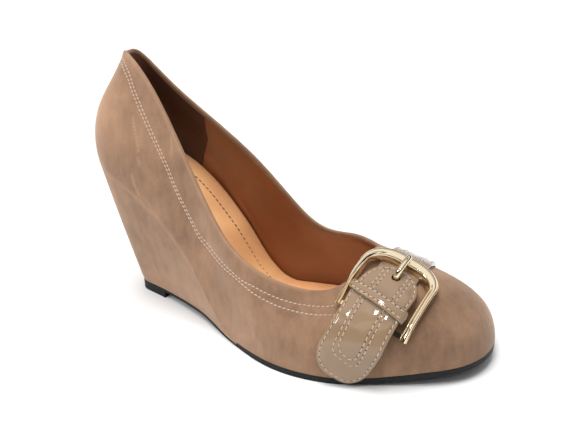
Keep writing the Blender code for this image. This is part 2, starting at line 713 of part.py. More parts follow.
def main():
    for old in list(bpy.data.objects):
        bpy.data.objects.remove(old)
    parts = bpy.data.collections.new("wedge_pump")
    cutters = bpy.data.collections.new("cutters")
    for collection in (parts, cutters):
        bpy.context.scene.collection.children.link(collection)

    suede = material("taupe suede", (0.33, 0.22, 0.15), 0.95)
    patent = material("taupe patent", (0.38, 0.28, 0.20), 0.15, coat=1)
    gold = material("pale gold", (0.85, 0.72, 0.52), 0.12, metallic=1)
    black = material("black sole", (0.02, 0.02, 0.02), 0.5)
    tan = material("tan insole leather", (0.60, 0.28, 0.12), 0.4)

    rows = rib_rows()
    vamp = Vamp(rows)
    make_outsole(rows, black, parts)
    make_lift(rows, black, parts)
    make_wedge(rows, suede, parts)
    make_insole(rows, tan, parts)
    make_upper(rows, suede, parts)
    make_strap(vamp, patent, parts)
    make_tab(vamp, patent, parts, cutters)
    make_keeper(vamp, patent, parts)
    make_frame(vamp, gold, parts, cutters)
    make_prong(vamp, gold, parts)


main()
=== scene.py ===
"""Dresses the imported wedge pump: suede, lining, insole, patent strap and tab, gold buckle and stitching.

Run as a script inside Blender. It is laid out as an add-on, so that each piece has its own operator and
the sizes and colours that a user would change are properties. Metres, the part's own frame.
"""

import math
from collections import namedtuple

import bmesh
import bpy
import numpy as np
from bpy.props import FloatProperty, FloatVectorProperty, PointerProperty
from mathutils import Matrix, Vector
from mathutils.bvhtree import BVHTree


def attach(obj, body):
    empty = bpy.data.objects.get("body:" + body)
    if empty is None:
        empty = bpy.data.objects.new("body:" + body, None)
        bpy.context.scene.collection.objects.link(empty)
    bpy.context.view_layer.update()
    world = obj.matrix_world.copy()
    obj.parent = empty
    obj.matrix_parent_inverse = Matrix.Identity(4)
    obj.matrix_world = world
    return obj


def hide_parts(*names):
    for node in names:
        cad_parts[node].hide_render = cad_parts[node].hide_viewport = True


bl_info = {
    "name": "Wedge pump",
    "version": (1, 0, 0),
    "blender": (4, 5, 0),
    "location": "3D View > Sidebar > Wedge pump",
    "description": "Builds a right wedge pump's suede, lining, strap, buckle and stitching",
    "category": "Object",
}

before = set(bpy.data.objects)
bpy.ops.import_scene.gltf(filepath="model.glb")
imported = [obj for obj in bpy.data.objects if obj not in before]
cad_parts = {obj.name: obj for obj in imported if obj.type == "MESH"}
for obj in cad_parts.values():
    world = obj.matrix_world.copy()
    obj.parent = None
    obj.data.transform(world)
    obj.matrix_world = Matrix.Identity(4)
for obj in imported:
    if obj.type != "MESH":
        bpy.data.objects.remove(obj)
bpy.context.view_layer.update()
ROOT = "root"

# Driving dimensions of the shoe
SOLE_LENGTH = 0.216  # back of the seat to the toe tip, seen from above
BALL_WIDTH = 0.083
SEAT_HEIGHT = 0.0782  # floor to the upper's lower edge at the back
BACK_HEIGHT = 0.059  # upper's lower edge to the collar at the back
THROAT_HEIGHT = 0.0467  # the same at the front of the opening
WALL = 0.0018  # suede and lining together
CLEARANCE = 0.0003  # between pieces that are glued or stitched together
INSOLE_THICKNESS = 0.0025
SOLE_THICKNESS = 0.003  # under the forefoot
SHANK_SOLE_THICKNESS = 0.0013  # the same sheet, skived thin under the wedge
TOE_SPRING = 0.006
LIFT_THICKNESS = 0.0052

# Strap, tab, keeper and buckle
FRAME_WIDTH = 0.0366
FRAME_TOP = -0.0045
FRAME_END = 0.038
FRAME_SLANT = 0.08  # the side towards the toe ends this share of its place higher
FRAME_LEG = 0.0033
FRAME_BAR = 0.0080  # the wide bar that the prong rests on
FRAME_CORNER = 0.0145
FRAME_HEIGHT = 0.0038
TAB_ROOM = 0.0024  # between the tab and each leg of the frame
TAB_WIDTH = FRAME_WIDTH - 2 * FRAME_LEG - 2 * TAB_ROOM
STRAP_INSET = 0.0028  # the strap is this much narrower than the tab on each side
STRAP_WIDTH = TAB_WIDTH - 2 * STRAP_INSET
STRAP_THICKNESS = 0.0019
STRAP_MIDDLE = -0.001  # fore of the buckle's middle
STRAP_END = 0.0185  # its outer end, hidden below the tab
TAB_THICKNESS = 0.0019
TAB_TOP = 0.006  # ends of the tab, measured down the outer side from the crown of the vamp
TAB_END = 0.0658
TAB_DRIFT = 0.0028  # how far the free end leans back from the buckle's middle
TAB_CORNER = 0.0095
TAB_TILT = 0.22  # at its end, the side towards the toe reaches this share of its place lower
KEEPER_WIDTH = 0.0052
KEEPER_TILT = 0.1  # its outer end lies this share lower than its inner one
KEEPER_THICKNESS = 0.0013
KEEPER_CORNER = 0.0009  # inside radius
KEEPER_CROWN = 0.0007  # how much higher its middle stands than its sides
KEEPER_PLACE = 0.0275
HEEL_BAR_WIDTH = 0.0022
HEEL_BAR_HEIGHT = 0.0016
PRONG_DIAMETER = 0.003
PRONG_HOLE = 0.0125
PRONG_TIP = 0.0006
PRONG_RUN = 0.0035  # from the hole to where it lies above the wide bar
PRONG_BEND = 0.0006
PRONG_CREST = 0.003  # where it stands highest

# Where the buckle sits: its core is a line through the vamp that slopes with the instep
BUCKLE_ALONG = 0.732  # share of the sole's length from the back of the seat
BUCKLE_RISE = 0.30  # share of the throat height
BUCKLE_SLOPE = math.radians(20)
BUCKLE_MIDDLE = 0.0035  # the frame's middle, along the core from its point above
VAMP_RADIUS = 0.037  # turns a distance round the vamp into an angle about the core

# One row for each rib, from the back round the outer side to the toe and home by the inner side.
# along, top_along, base_along: shares of SOLE_LENGTH; across: shares of BALL_WIDTH.
# back, throat: height of the opening's edge above the seat, shares of the two heights.
# rise, lean: handle at the lower edge, share of BACK_HEIGHT and degrees (over 90 swells outwards).
# fall, over: handle at the opening's edge, share of SOLE_LENGTH and degrees down from level.
# base: foot of the wedge. steps: facets as far as the next rib.
Rib = namedtuple(
    "Rib",
    "name along across top_along top_across back throat rise lean fall over base_along base_across steps",
)
RIBS = (
    Rib("back", 0.000, 0.000, 0.068, 0.000, 1.01, 0, 0.52, 101, 0.101, 71, 0.072, 0.000, 4),
    Rib("outer heel corner", 0.036, -0.267, 0.098, -0.082, 1.05, 0, 0.51, 101, 0.098, 67, 0.090, -0.140, 4),
    Rib("outer heel", 0.163, -0.345, 0.212, -0.205, 0.975, 0, 0.41, 97, 0.093, 80, 0.174, -0.195, 6),
    Rib("outer waist", 0.367, -0.392, 0.360, -0.347, 0.90, 0, 0.34, 88, 0.065, 85, 0.369, -0.356, 8),
    Rib("outer joint", 0.550, -0.540, 0.494, -0.449, 0, 1.00, 0.34, 90, 0.065, 80, 0.550, -0.540, 5),
    Rib("outer ball", 0.714, -0.520, 0.633, -0.367, 0, 0.78, 0.34, 92, 0.074, 50, 0.714, -0.520, 4),
    Rib("outer toe", 0.855, -0.360, 0.695, -0.205, 0, 0.81, 0.31, 90, 0.157, 30, 0.855, -0.360, 4),
    Rib("outer toe corner", 0.960, -0.180, 0.712, -0.080, 0, 0.95, 0.31, 88, 0.194, 22, 0.960, -0.180, 3),
    Rib("toe tip", 1.000, 0.063, 0.719, 0.032, 0, 1.00, 0.34, 85, 0.205, 17, 1.000, 0.063, 3),
    Rib("inner toe corner", 0.978, 0.292, 0.715, 0.140, 0, 0.96, 0.34, 88, 0.200, 26, 0.978, 0.292, 4),
    Rib("inner toe", 0.901, 0.434, 0.694, 0.238, 0, 0.88, 0.32, 90, 0.168, 38, 0.901, 0.434, 4),
    Rib("inner ball", 0.758, 0.480, 0.620, 0.311, 0, 0.87, 0.34, 92, 0.074, 52, 0.758, 0.480, 5),
    Rib("inner joint", 0.577, 0.435, 0.506, 0.340, 0, 0.91, 0.34, 90, 0.065, 80, 0.577, 0.435, 8),
    Rib("inner waist", 0.373, 0.325, 0.356, 0.288, 0.93, 0, 0.34, 88, 0.065, 85, 0.373, 0.300, 6),
    Rib("inner heel", 0.165, 0.320, 0.170, 0.203, 0.76, 0, 0.41, 96, 0.093, 80, 0.174, 0.192, 4),
    Rib("inner heel corner", 0.045, 0.247, 0.076, 0.124, 0.97, 0, 0.49, 99, 0.102, 74, 0.090, 0.138, 4),
)
ROWS = len(RIBS)
RIB_NAMES = [rib.name for rib in RIBS]
LIFT_ROW = RIB_NAMES.index("outer heel")  # the lift's front edge lies at this rib
WEDGE_ROW = RIB_NAMES.index("outer waist") + 0.5  # the wedge ends half way to the next rib

# The seat's fall from the heel: along the sole, and height as a share of SEAT_HEIGHT over the forefoot's
SEAT_LINE = ((0, 1), (0.09, 0.941), (0.156, 0.86), (0.224, 0.728), (0.312, 0.457), (0.3875, 0.136),
             (0.428, 0.031), (0.462, 0))
# The underside's height in the arch, as a share of what the lift leaves under the thin sole
ARCH_LINE = ((0.174, 1), (0.30, 1), (0.34, 0.8), (0.385, 0.3), (0.425, 0))
# The underside's rise to the toe, as a share of TOE_SPRING
SPRING_LINE = ((0.70, 0), (0.785, 0.2), (0.855, 0.5), (0.92, 0.82), (1, 1))

DRAPE_FACETS = 60  # from the upper's lower edge up the surface that the straps are laid on
DRAPE_REACH = 0.002  # over which its direction is taken, so that it turns smoothly
# The strap's foot is looked for between these angles about the core, in radians
FOOT_HIGH, FOOT_LOW = -0.5, -1.9
FOOT_HALVINGS = 30
DRAPE_SKIRT = 0.006  # the vamp's surface goes on this far below the upper, for what hangs over the edge
DRAPE_BEYOND = 1.09  # and as far as this height past the opening's edge, where the buckle overhangs it


def smooth_line(rows):
    """A curve through (place, value) rows that stays flat beyond both ends and never overshoots."""
    xs, ys = (np.array(column, float) for column in zip(*rows))
    width = np.diff(xs)
    slope = np.diff(ys) / width
    turn = np.zeros(len(xs))
    same = slope[:-1] * slope[1:] > 0
    weight_a = 2 * width[1:] + width[:-1]
    weight_b = width[1:] + 2 * width[:-1]
    first = np.where(same, slope[:-1], 1)
    second = np.where(same, slope[1:], 1)
    turn[1:-1] = np.where(same, (weight_a + weight_b) / (weight_a / first + weight_b / second), 0)

    def value(place):
        place = np.clip(place, xs[0], xs[-1])
        i = np.clip(np.searchsorted(xs, place, side="right") - 1, 0, len(width) - 1)
        t = (place - xs[i]) / width[i]
        rest = (1 - t) ** 2 * (1 + 2 * t) * ys[i] + t * t * (3 - 2 * t) * ys[i + 1]
        return rest + t * (1 - t) * width[i] * ((1 - t) * turn[i] - t * turn[i + 1])

    return value


def closed_spline(values):
    """A smooth closed curve through one row of values for each rib."""
    count = len(values)
    matrix = 4 * np.eye(count) + np.roll(np.eye(count), 1, 1) + np.roll(np.eye(count), -1, 1)
    turn = np.linalg.solve(matrix, 3 * (np.roll(values, -1, 0) - np.roll(values, 1, 0)))

    def value(row):
        row = np.atleast_1d(row)
        low = np.floor(row).astype(int)
        t = (row - low)[:, None]
        a, b = low % count, (low + 1) % count
        ends = (1 - t) ** 2 * (1 + 2 * t) * values[a] + t * t * (3 - 2 * t) * values[b]
        return ends + t * (1 - t) * ((1 - t) * turn[a] - t * turn[b])

    return value


seat_share = smooth_line(SEAT_LINE)
arch_share = smooth_line(ARCH_LINE)
spring_share = smooth_line(SPRING_LINE)
ARCH_HEIGHT = LIFT_THICKNESS - SHANK_SOLE_THICKNESS
BACK_EDGE = -0.5 * (RIBS[0].base_along + RIBS[LIFT_ROW].base_along) * SOLE_LENGTH


def along(x):
    """The share of the sole's length at x."""
    return (x - BACK_EDGE) / SOLE_LENGTH


def under_height(x):
    """Height of the sole's underside, which touches the floor under the ball."""
    return ARCH_HEIGHT * arch_share(along(x)) + TOE_SPRING * spring_share(along(x))


def seat_height(x):
    """Height of the surface that the upper and the insole stand on."""
    forefoot = SOLE_THICKNESS + CLEARANCE
    return (
        forefoot
        + TOE_SPRING * spring_share(along(x))
        + (SEAT_HEIGHT - forefoot) * seat_share(along(x))
    )


def seat_stretch(x):
    """How much longer the slope makes a distance across it when that is measured straight up."""
    step = 0.0005
    slope = (seat_height(x + step) - seat_height(x - step)) / (2 * step)
    return np.sqrt(1 + slope**2)


def rib_values():
    """The ribs' shares as metres and radians, one row each."""
    rows = []
    for rib in RIBS:
        top_x = BACK_EDGE + rib.top_along * SOLE_LENGTH
        top_z = seat_height(top_x) + rib.back * BACK_HEIGHT + rib.throat * THROAT_HEIGHT
        rows.append((
            BACK_EDGE + rib.along * SOLE_LENGTH,
            rib.across * BALL_WIDTH,
            top_x,
            rib.top_across * BALL_WIDTH,
            top_z,
            rib.rise * BACK_HEIGHT,
            math.radians(rib.lean),
            rib.fall * SOLE_LENGTH,
            math.radians(rib.over),
            BACK_EDGE + rib.base_along * SOLE_LENGTH,
            rib.base_across * BALL_WIDTH,
        ))
    return np.array(rows)


rib_curve = closed_spline(rib_values())


def outward(row):
    """Level direction out of the shoe, square to its lower edge."""
    step = 0.001
    run = rib_curve(row + step)[:, :2] - rib_curve(row - step)[:, :2]
    out = np.stack([run[:, 1], -run[:, 0], np.zeros(len(run))], 1)
    return out / np.linalg.norm(out, axis=1)[:, None]


def lower_edge(row):
    """The upper's lower edge, on the seat."""
    values = rib_curve(row)
    return np.stack([values[:, 0], values[:, 1], seat_height(values[:, 0])], 1)


def skin(row, height):
    """The upper's outer surface: ribs by heights, height 0 at the lower edge and 1 at the opening.

    Heights are one row for all ribs, or a row for each.
    """
    values = rib_curve(row)
    out, up = outward(row), np.array([0, 0, 1.0])
    lean, over = values[:, 6:7], values[:, 8:9]
    foot = lower_edge(row)
    top = values[:, 2:5]
    first = foot + values[:, 5:6] * (np.sin(lean) * up - np.cos(lean) * out)
    second = top + values[:, 7:8] * (np.cos(over) * out - np.sin(over) * up)
    t = np.atleast_2d(height)[..., None]
    ends = (1 - t) ** 3 * foot[:, None] + t**3 * top[:, None]
    return ends + 3 * t * (1 - t) * ((1 - t) * first[:, None] + t * second[:, None])


def skin_normals(row, height):
    """Unit directions out of the upper's outer surface."""
    step, height = 0.001, np.asarray(height, float)
    round_run = skin(row + step, height) - skin(row - step, height)
    rise_run = skin(row, height + step) - skin(row, height - step)
    normal = np.cross(round_run, rise_run)
    return normal / np.linalg.norm(normal, axis=2, keepdims=True)


def slab(levels):
    """Points and faces of a solid whose levels are outlines of paired points.

    An outline is a list of stations from back to front: one point at a tip, or an outer and an inner
    point. The lowest and highest outlines are closed by strips between their stations.
    """
    sizes = [len(station) for station in levels[0]]
    first = np.concatenate([[0], np.cumsum(sizes)[:-1]])
    count = sum(sizes)
    points = [point for outline in levels for station in outline for point in station]
    outer = [int(start) for start in first]
    inner = [int(start + size - 1) for start, size in zip(first, sizes)]
    loop = list(dict.fromkeys(outer + inner[::-1]))
    faces = []
    for base in range(0, count * (len(levels) - 1), count):
        for a, b in zip(loop, loop[1:] + loop[:1]):
            faces.append((base + a, base + b, base + count + b, base + count + a))
    for base in (0, count * (len(levels) - 1)):
        for i in range(len(sizes) - 1):
            for face in ((outer[i], inner[i], inner[i + 1]), (outer[i], inner[i + 1], outer[i + 1])):
                if len(set(face)) == 3:
                    faces.append(tuple(base + k for k in face))
    return points, faces


def stations(outline, first, last):
    """Pairs the points of a closed outline, from place first to place last."""
    count = len(outline)
    return [
        [outline[k]] if k in (0, count // 2) else [outline[k], outline[count - k]]
        for k in range(first, last + 1)
    ]


def with_height(outline, heights):
    return np.stack([outline[:, 0], outline[:, 1], np.broadcast_to(heights, len(outline))], 1)


def base_outline(rows):
    """The foot of the wedge and the sole's edge, seen from above."""
    return rib_curve(rows)[:, 9:11]


class Vamp:
    """Places points on the vamp by (fore, round, lift): along the core, round it, and off the skin.

    Fore is measured from the buckle's middle towards the toe, round from the crown down the outer
    side, and lift straight off the upper's outer surface.
    """

    def __init__(self, rows):
        heights = np.linspace(0, DRAPE_BEYOND, DRAPE_FACETS + 1)
        fine = np.concatenate([rows, rows + 0.5 * np.diff(rows, append=ROWS)])
        fine.sort()
        grid = skin(fine, heights)
        skirt = grid[:, :1] - np.array([0, 0, DRAPE_SKIRT])
        grid = np.concatenate([skirt, grid], 1)
        around, levels = grid.shape[:2]
        faces = []
        for i in range(around):
            this, after = i * levels, (i + 1) % around * levels
            for k in range(levels - 1):
                faces.append((this + k, after + k, after + k + 1, this + k + 1))
        self.tree = BVHTree.FromPolygons(grid.reshape(-1, 3).tolist(), faces)
        self.axis = Vector((math.cos(BUCKLE_SLOPE), 0, -math.sin(BUCKLE_SLOPE)))
        self.up = Vector((math.sin(BUCKLE_SLOPE), 0, math.cos(BUCKLE_SLOPE)))
        start = BACK_EDGE + BUCKLE_ALONG * SOLE_LENGTH
        self.core = Vector((start, 0, BUCKLE_RISE * THROAT_HEIGHT)) + BUCKLE_MIDDLE * self.axis

    def on_skin(self, fore, round_):
        angle = round_ / VAMP_RADIUS
        aim = self.up * math.cos(angle) - Vector((0, math.sin(angle), 0))
        hit = self.tree.ray_cast(self.core + self.axis * fore, aim)[0]
        if hit is None:
            raise ValueError(f"nothing of the vamp lies at {fore}, {round_}")
        return hit

    def normal(self, fore, round_):
        """Square to the skin."""
        fore_run = self.on_skin(fore + DRAPE_REACH, round_) - self.on_skin(fore - DRAPE_REACH, round_)
        round_run = self.on_skin(fore, round_ + DRAPE_REACH) - self.on_skin(fore, round_ - DRAPE_REACH)
        return round_run.cross(fore_run).normalized()

    def place(self, fore, round_, lift):
        return self.on_skin(fore, round_) + self.normal(fore, round_) * lift

    def foot_round(self, fore):
        """Where the inner side's skin comes down to just above the outsole."""
        high, low = FOOT_HIGH * VAMP_RADIUS, FOOT_LOW * VAMP_RADIUS
        for _ in range(FOOT_HALVINGS):
            middle = 0.5 * (high + low)
            point = self.on_skin(fore, middle)
            if point.z > seat_height(point.x) + CLEARANCE:
                high = middle
            else:
                low = middle
        return high


STRAP_LIFT = CLEARANCE + 0.0002  # a faceted band dips this much between its sections
FRAME_LIFT = STRAP_LIFT + STRAP_THICKNESS + CLEARANCE
# The tab's underside, from the rounded end in the frame, over keeper and heel bar, down to the skin
TAB_LIFT = smooth_line((
    (TAB_TOP, FRAME_LIFT),
    (PRONG_HOLE, FRAME_LIFT),
    (KEEPER_PLACE - KEEPER_WIDTH, FRAME_LIFT + KEEPER_THICKNESS + CLEARANCE),
    (KEEPER_PLACE + KEEPER_WIDTH, FRAME_LIFT + HEEL_BAR_HEIGHT + CLEARANCE),
    (FRAME_END + 2 * HEEL_BAR_WIDTH, FRAME_LIFT + HEEL_BAR_HEIGHT + CLEARANCE),
    (TAB_END - TAB_CORNER / 2, 2 * CLEARANCE),
    (TAB_END, 2 * CLEARANCE),
))
# The keeper's inner face over the tab's edges
KEEPER_INSIDE = float(TAB_LIFT(KEEPER_PLACE + KEEPER_WIDTH / 2)) + TAB_THICKNESS + 2 * CLEARANCE


def loft(sections):
    """Points and faces of a solid from closed sections of equal count, with flat ends."""
    count = len(sections[0])
    points = [point for section in sections for point in section]
    faces = [tuple(range(count)), tuple(range(len(points) - 1, len(points) - count - 1, -1))]
    for base in range(0, len(points) - count, count):
        for k in range(count):
            after = (k + 1) % count
            faces.append((base + k, base + after, base + count + after, base + count + k))
    return points, faces


def tab_half_width(round_):
    """Half the tab's width: a half circle at the top, and a blunt end with rounded corners."""
    half = TAB_WIDTH / 2
    from_top = min(round_ - TAB_TOP, half)
    from_end = min(TAB_END - round_, TAB_CORNER)
    top = math.sqrt(max(half**2 - (half - from_top) ** 2, 0))
    end = half - TAB_CORNER + math.sqrt(max(TAB_CORNER**2 - (TAB_CORNER - from_end) ** 2, 0))
    return min(top, end)


def tab_past(round_):
    """Share of the tab's run from above the keeper to its end."""
    straight = KEEPER_PLACE - 1.5 * KEEPER_WIDTH
    return max(round_ - straight, 0) / (TAB_END - straight)


def tab_middle(round_):
    return -TAB_DRIFT * tab_past(round_)


def tab_round(round_, beside):
    """Where a place on the tab lies round the vamp, this far beside the tab's middle."""
    return round_ + TAB_TILT * min(2 * tab_past(round_), 1) * beside


# How much finer the shown surfaces are round the shoe than the part's own facets
FINE_ROUND = 8
LINING_ROUND = 5
SOCK_ROUND = 4
SOLE_ROUND = 4
DRAPE_ROUND = 4
# Their cuts the other way
SKIN_LEVELS = 54
LINING_LEVELS = 26
WEDGE_LEVELS = 26
BAND_COLUMNS = 49
STRAP_STATIONS = 110
TAB_TOP_STATIONS, TAB_SIDE_STATIONS, TAB_END_STATIONS = 16, 64, 14
FIRST_STATION = 0.10  # radians round the tab's upper end, so that the first one has a width
KEEPER_CORNER_CUTS, KEEPER_SIDE_CUTS = 8, 26
FRAME_STEPS = 28
HEEL_BAR_CUTS = 26
# And along the lines that are sewn
COLLAR_CUTS = 1500
SOCK_SEAM_CUTS = 500
STRAP_SEAM_CUTS = 160
TAB_SEAM_CUTS = 90
TAB_TURN_CUTS = 60
TAB_CORNER_CUTS, TAB_INNER_CORNER_CUTS = 24, 16
KEEPER_SEAM_CUTS = 90
POCKET_SEAM_CUTS = 60

# The collar: suede turned over the edge and folded down inside
LIP_RADIUS = 0.00095
LIP_STEPS = 8
FOLD_DEPTH = 0.0030
FOLD_PROUD = 0.0002
FOLD_TURN = 0.0003  # from the fold's edge to where it lies on the lining
FOLD_OVERLAP = 0.0005  # the lining goes this far under the fold, and the suede's back starts as far below
FOLD_BACK = 0.45  # share of its depth that the fold keeps at the back
FOLD_WHOLE = 1.8  # rib from which it has its whole depth
SUEDE_THICKNESS = 0.001
HIDDEN_HEIGHTS = (0.75, 0.12)  # of the suede's unseen back
HIDDEN_CUTS = 5

# Double stitching round the collar: heights of the two threads on the skin, by rib
Seam = namedtuple("Seam", "row low high")
COLLAR_SEAM = (
    Seam(0.00, 0.900, 0.938), Seam(0.80, 0.895, 0.935), Seam(1.30, 0.845, 0.885), Seam(1.52, 0.790, 0.828),
    Seam(1.98, 0.680, 0.720), Seam(2.32, 0.595, 0.635), Seam(2.60, 0.497, 0.537), Seam(2.84, 0.458, 0.500),
    Seam(3.10, 0.545, 0.590), Seam(3.40, 0.622, 0.668), Seam(3.92, 0.692, 0.740), Seam(4.16, 0.690, 0.782),
    Seam(4.40, 0.690, 0.790), Seam(4.70, 0.700, 0.800), Seam(5.04, 0.730, 0.830), Seam(5.40, 0.772, 0.856),
    Seam(6.00, 0.810, 0.890),
)
SEAM_END = 5.55  # the threads run on under the tab
INNER_SEAM_END = 4.75  # on the inner side, under the strap

# Creases and dents in the suede, as places (rib, height) along each one
Crease = namedtuple("Crease", "name places width depth")
CREASES = (
    Crease("outer counter fold", ((1.70, 0.62), (1.94, 0.46), (2.06, 0.33), (2.10, 0.16)), 0.0034, 0.00028),
    Crease("outer counter low fold", ((1.96, 0.17), (2.06, 0.05), (2.20, 0.0)), 0.0030, 0.00026),
    Crease("outer collar pull", ((2.34, 0.91), (2.36, 0.75), (2.44, 0.64)), 0.0030, 0.00022),
    Crease("outer waist pull", ((3.05, 0.50), (3.35, 0.38), (3.75, 0.34)), 0.0060, 0.00030),
    Crease("outer joint fold", ((4.15, 0.55), (4.45, 0.44), (4.80, 0.40)), 0.0060, 0.00026),
    Crease("toe fold", ((7.2, 0.70), (8.1, 0.74), (9.0, 0.70)), 0.0060, 0.00022),
    Crease("inner joint fold", ((11.6, 0.52), (12.0, 0.44), (12.4, 0.46)), 0.0060, 0.00030),
    Crease("inner waist pull", ((12.9, 0.40), (13.3, 0.34), (13.7, 0.42)), 0.0060, 0.00026),
    Crease("inner counter fold", ((14.2, 0.25), (14.5, 0.42), (14.7, 0.58)), 0.0045, 0.00026),
)
CREASE_REACH = 0.05  # no crease shows further than this from its middle
CREASE_SHOULDER = 0.45  # how far its sides stand up, as a share of its depth
SHOULDER_AT, SHOULDER_WIDTH = 1.5, 0.8  # shares of its width
COLLAR_GROOVE, COLLAR_GROOVE_WIDTH = 0.0002, 0.0009  # under the collar's threads
# Slow unevenness of the whole skin: its height, and two waves, each turned by a second one
UNEVEN = 0.00006
Wave = namedtuple("Wave", "turns sway sway_turns start")
WAVE_ALONG = Wave(142, 2.1, 71, 0)
WAVE_UP = Wave(193, 1.7, 97, 1.3)

# Where the suede is paler: scratches rubbed into the nap, painted highlights on the heel swell and the toe
# crown, painted sheen along the collar's edges, and a paler line along the wedge ridge
Rub = namedtuple("Rub", "name places width strength")
SCUFFS_AND_HIGHLIGHTS = (
    Rub("counter scratch", ((1.70, 0.63), (1.82, 0.55), (1.92, 0.48), (1.97, 0.42)), 0.0005, 0.55),
    Rub("counter scratch end", ((2.00, 0.37), (2.05, 0.33)), 0.0006, 0.4),
    Rub("low scratch", ((1.96, 0.17), (2.00, 0.11), (2.07, 0.04)), 0.0008, 0.45),
    Rub("collar scratch", ((2.33, 0.92), (2.36, 0.84), (2.37, 0.76)), 0.0006, 0.4),
    # A paler line along the ridge at the upper's foot
    Rub("wedge ridge", ((0.4, 0.0), (1.2, 0.0), (2.0, 0.0), (2.8, 0.0)), 0.0014, 0.22),
    # Painted sheen along the collar's edge, on both sides
    Rub("collar edge", ((1.0, 1.0), (2.0, 1.0), (3.0, 1.0), (4.0, 1.0), (5.0, 1.0)), 0.0014, 0.35),
    # Painted highlights where the light falls on the heel swell and the toe crown
    Rub("heel swell", ((0.3, 0.52), (1.0, 0.50), (1.3, 0.42)), 0.0120, 0.30),
    Rub("toe crown", ((6.6, 0.82), (8.0, 0.80), (9.4, 0.78)), 0.0140, 0.34),
    Rub("inner collar edge", ((11.5, 1.0), (12.5, 1.0), (13.5, 1.0), (15.0, 1.0)), 0.0014, 0.35),
)

# The lining: a seam on each side joins the matt heel pocket to the glossy quarters
POCKET_SEAM = ((0.54, 2.28), (0.23, 2.18), (0.0, 2.10))  # height and rib on the outer side
POCKET_TOP = 2.32
POCKET_RIDGE, POCKET_RIDGE_WIDTH = 0.0003, 0.035  # along that seam, metres high and ribs wide
POCKET_BEND = 0.5  # ribs over which the lining's rows bend to follow the seam
POCKET_THREAD_HEIGHTS = (0.06, 0.60)
POCKET_THREAD_ASIDE = 0.03  # ribs from the seam, on the pocket
LINING_GLUE = 0.00005  # behind the lining, to the suede's back
LINING_BUNCH = 0.85  # brings its rows closer together at the top
# Where it bulges inwards: the roll onto the insole and a soft pull before it. rise: height for each rib
Bulge = namedtuple("Bulge", "depth height height_width row row_width rise")
LINING_ROLL = Bulge(0.0016, 0.16, 0.075, 2.75, 0.55, 0)
LINING_PULL = Bulge(0.0004, 0.332, 0.07, 3.6, 0.5, 0.08)

# The suede round the wedge swells a little and is tucked in at its foot
WEDGE_SWELL = 0.00035
WEDGE_TUCK = 0.00025
COVER_GAP = 0.00005  # under the upper's edge, and under the sock

# The sock: its edge falls, a groove holds the seam, and the middle is padded
SOCK_GAP = 1.3 * CLEARANCE  # to the lining
SOCK_FALL, SOCK_FALL_WIDTH = 0.0011, 0.0009
SOCK_GROOVE, SOCK_GROOVE_WIDTH = 0.00035, 0.0009
SOCK_PAD, SOCK_PAD_WIDTH = 0.0005, 0.006
SOCK_COLUMNS = 36
SOCK_SEAM_ENDS = (11.2, 4.8)  # ribs on the inner and the outer side

SOLE_EDGE = 0.0003  # broken off the edges of sheet and lift

# Stitching
STITCH_GAP = 0.24  # share of the pitch that a thread spends under the surface
STITCH_RINGS = (0, 0.12, 0.3, 0.5, 0.7, 0.88, 1)  # shares of one stitch's length
STITCH_SIDES = 7
STITCH_SLANT = 0.22  # each end lies aside by this share of the thickness
STITCH_ARCH, STITCH_SINK = 0.42, 0.32  # how its middle rises and its ends dip, shares of the thickness
STITCH_WAIST = 0.72  # share of its thickness that the ends keep
STITCH_FLATTENED = 1.12  # wider than it is high
HOLE_SIDES = 8
HOLE_CROWN, HOLE_RIM, HOLE_DEPTH = 0.00007, 0.00002, 0.0003
# The rows' own shares of the common pitch and thickness
COLLAR_PITCH = 0.76
LINING_STITCH = 0.8
SOCK_THREAD = 1.25
PATENT_THREAD = 0.82
KEEPER_STITCH = 0.9
# Needle holes beside a thread: radius as a share of its thickness, and metres aside
PATENT_HOLE, PATENT_HOLE_ASIDE = 0.85, 0.0003
KEEPER_HOLE, KEEPER_HOLE_ASIDE = 0.6, 0.0002
INSOLE_SEAM = 0.0115  # inside the sock's edge
TAB_EDGE_SEAM = 0.0014
TAB_INNER_SEAMS = (0.0048, 0.0066)
TAB_INNER_ENDS = (0.0545, 0.0568)
TAB_INNER_CORNER = 0.0036
STRAP_EDGE_SEAM = 0.0011
STRAP_INNER_SEAMS = (0.0031, 0.0050)
STRAP_SEAM_FOOT = 0.0006  # the strap's seams start this far above its foot
STRAP_SEAM_END = 0.004  # and run this far under the frame
TAB_SEAM_INSET = 0.0012  # from the outer seam to the upper ends of the inner ones
KEEPER_SEAM_INSET = 0.0004
KEEPER_THREAD_SINK = 0.00005
KEEPER_SEAM = 0.29  # share of the keeper's width from its middle
EDGE_ROUNDING = 0.0007
SEAM_DIP, SEAM_DIP_WIDTH = 0.00016, 0.0006
TAB_PADDING, TAB_PADDING_WIDTH = 0.00022, 0.0016  # inside the tab's outer seam
TAB_SINK = 0.0001  # its edge is this much thinner than TAB_THICKNESS

# Cross-sections as (share across, share of the height), from one lower edge over the top
KEEPER_SECTION = (
    (-0.5, 0.0), (-0.5, 0.62), (-0.46, 0.84), (-0.38, 0.97), (-0.29, 0.93), (-0.18, 1.04), (0, 1.10),
    (0.18, 1.04), (0.29, 0.93), (0.38, 0.97), (0.46, 0.84), (0.5, 0.62), (0.5, 0.0), (0.0, 0.0),
)
FRAME_SECTION = (  # a bead along the outer edge, a wide rounded ridge, and a lip inside
    (1.0, 0.0), (1.0, 0.42), (0.97, 0.52), (0.90, 0.56), (0.82, 0.53), (0.76, 0.50), (0.70, 0.66),
    (0.56, 0.86), (0.36, 0.97), (0.12, 1.0), (-0.12, 0.96), (-0.34, 0.86), (-0.50, 0.76), (-0.60, 0.74),
    (-0.70, 0.84), (-0.80, 0.94), (-0.88, 0.96), (-0.95, 0.90), (-0.98, 0.78), (-1.0, 0.6), (-1.0, 0.0),
)
PIN_CUTS, PIN_SIDES = 40, 20
PIN_FLATTENED = 0.92

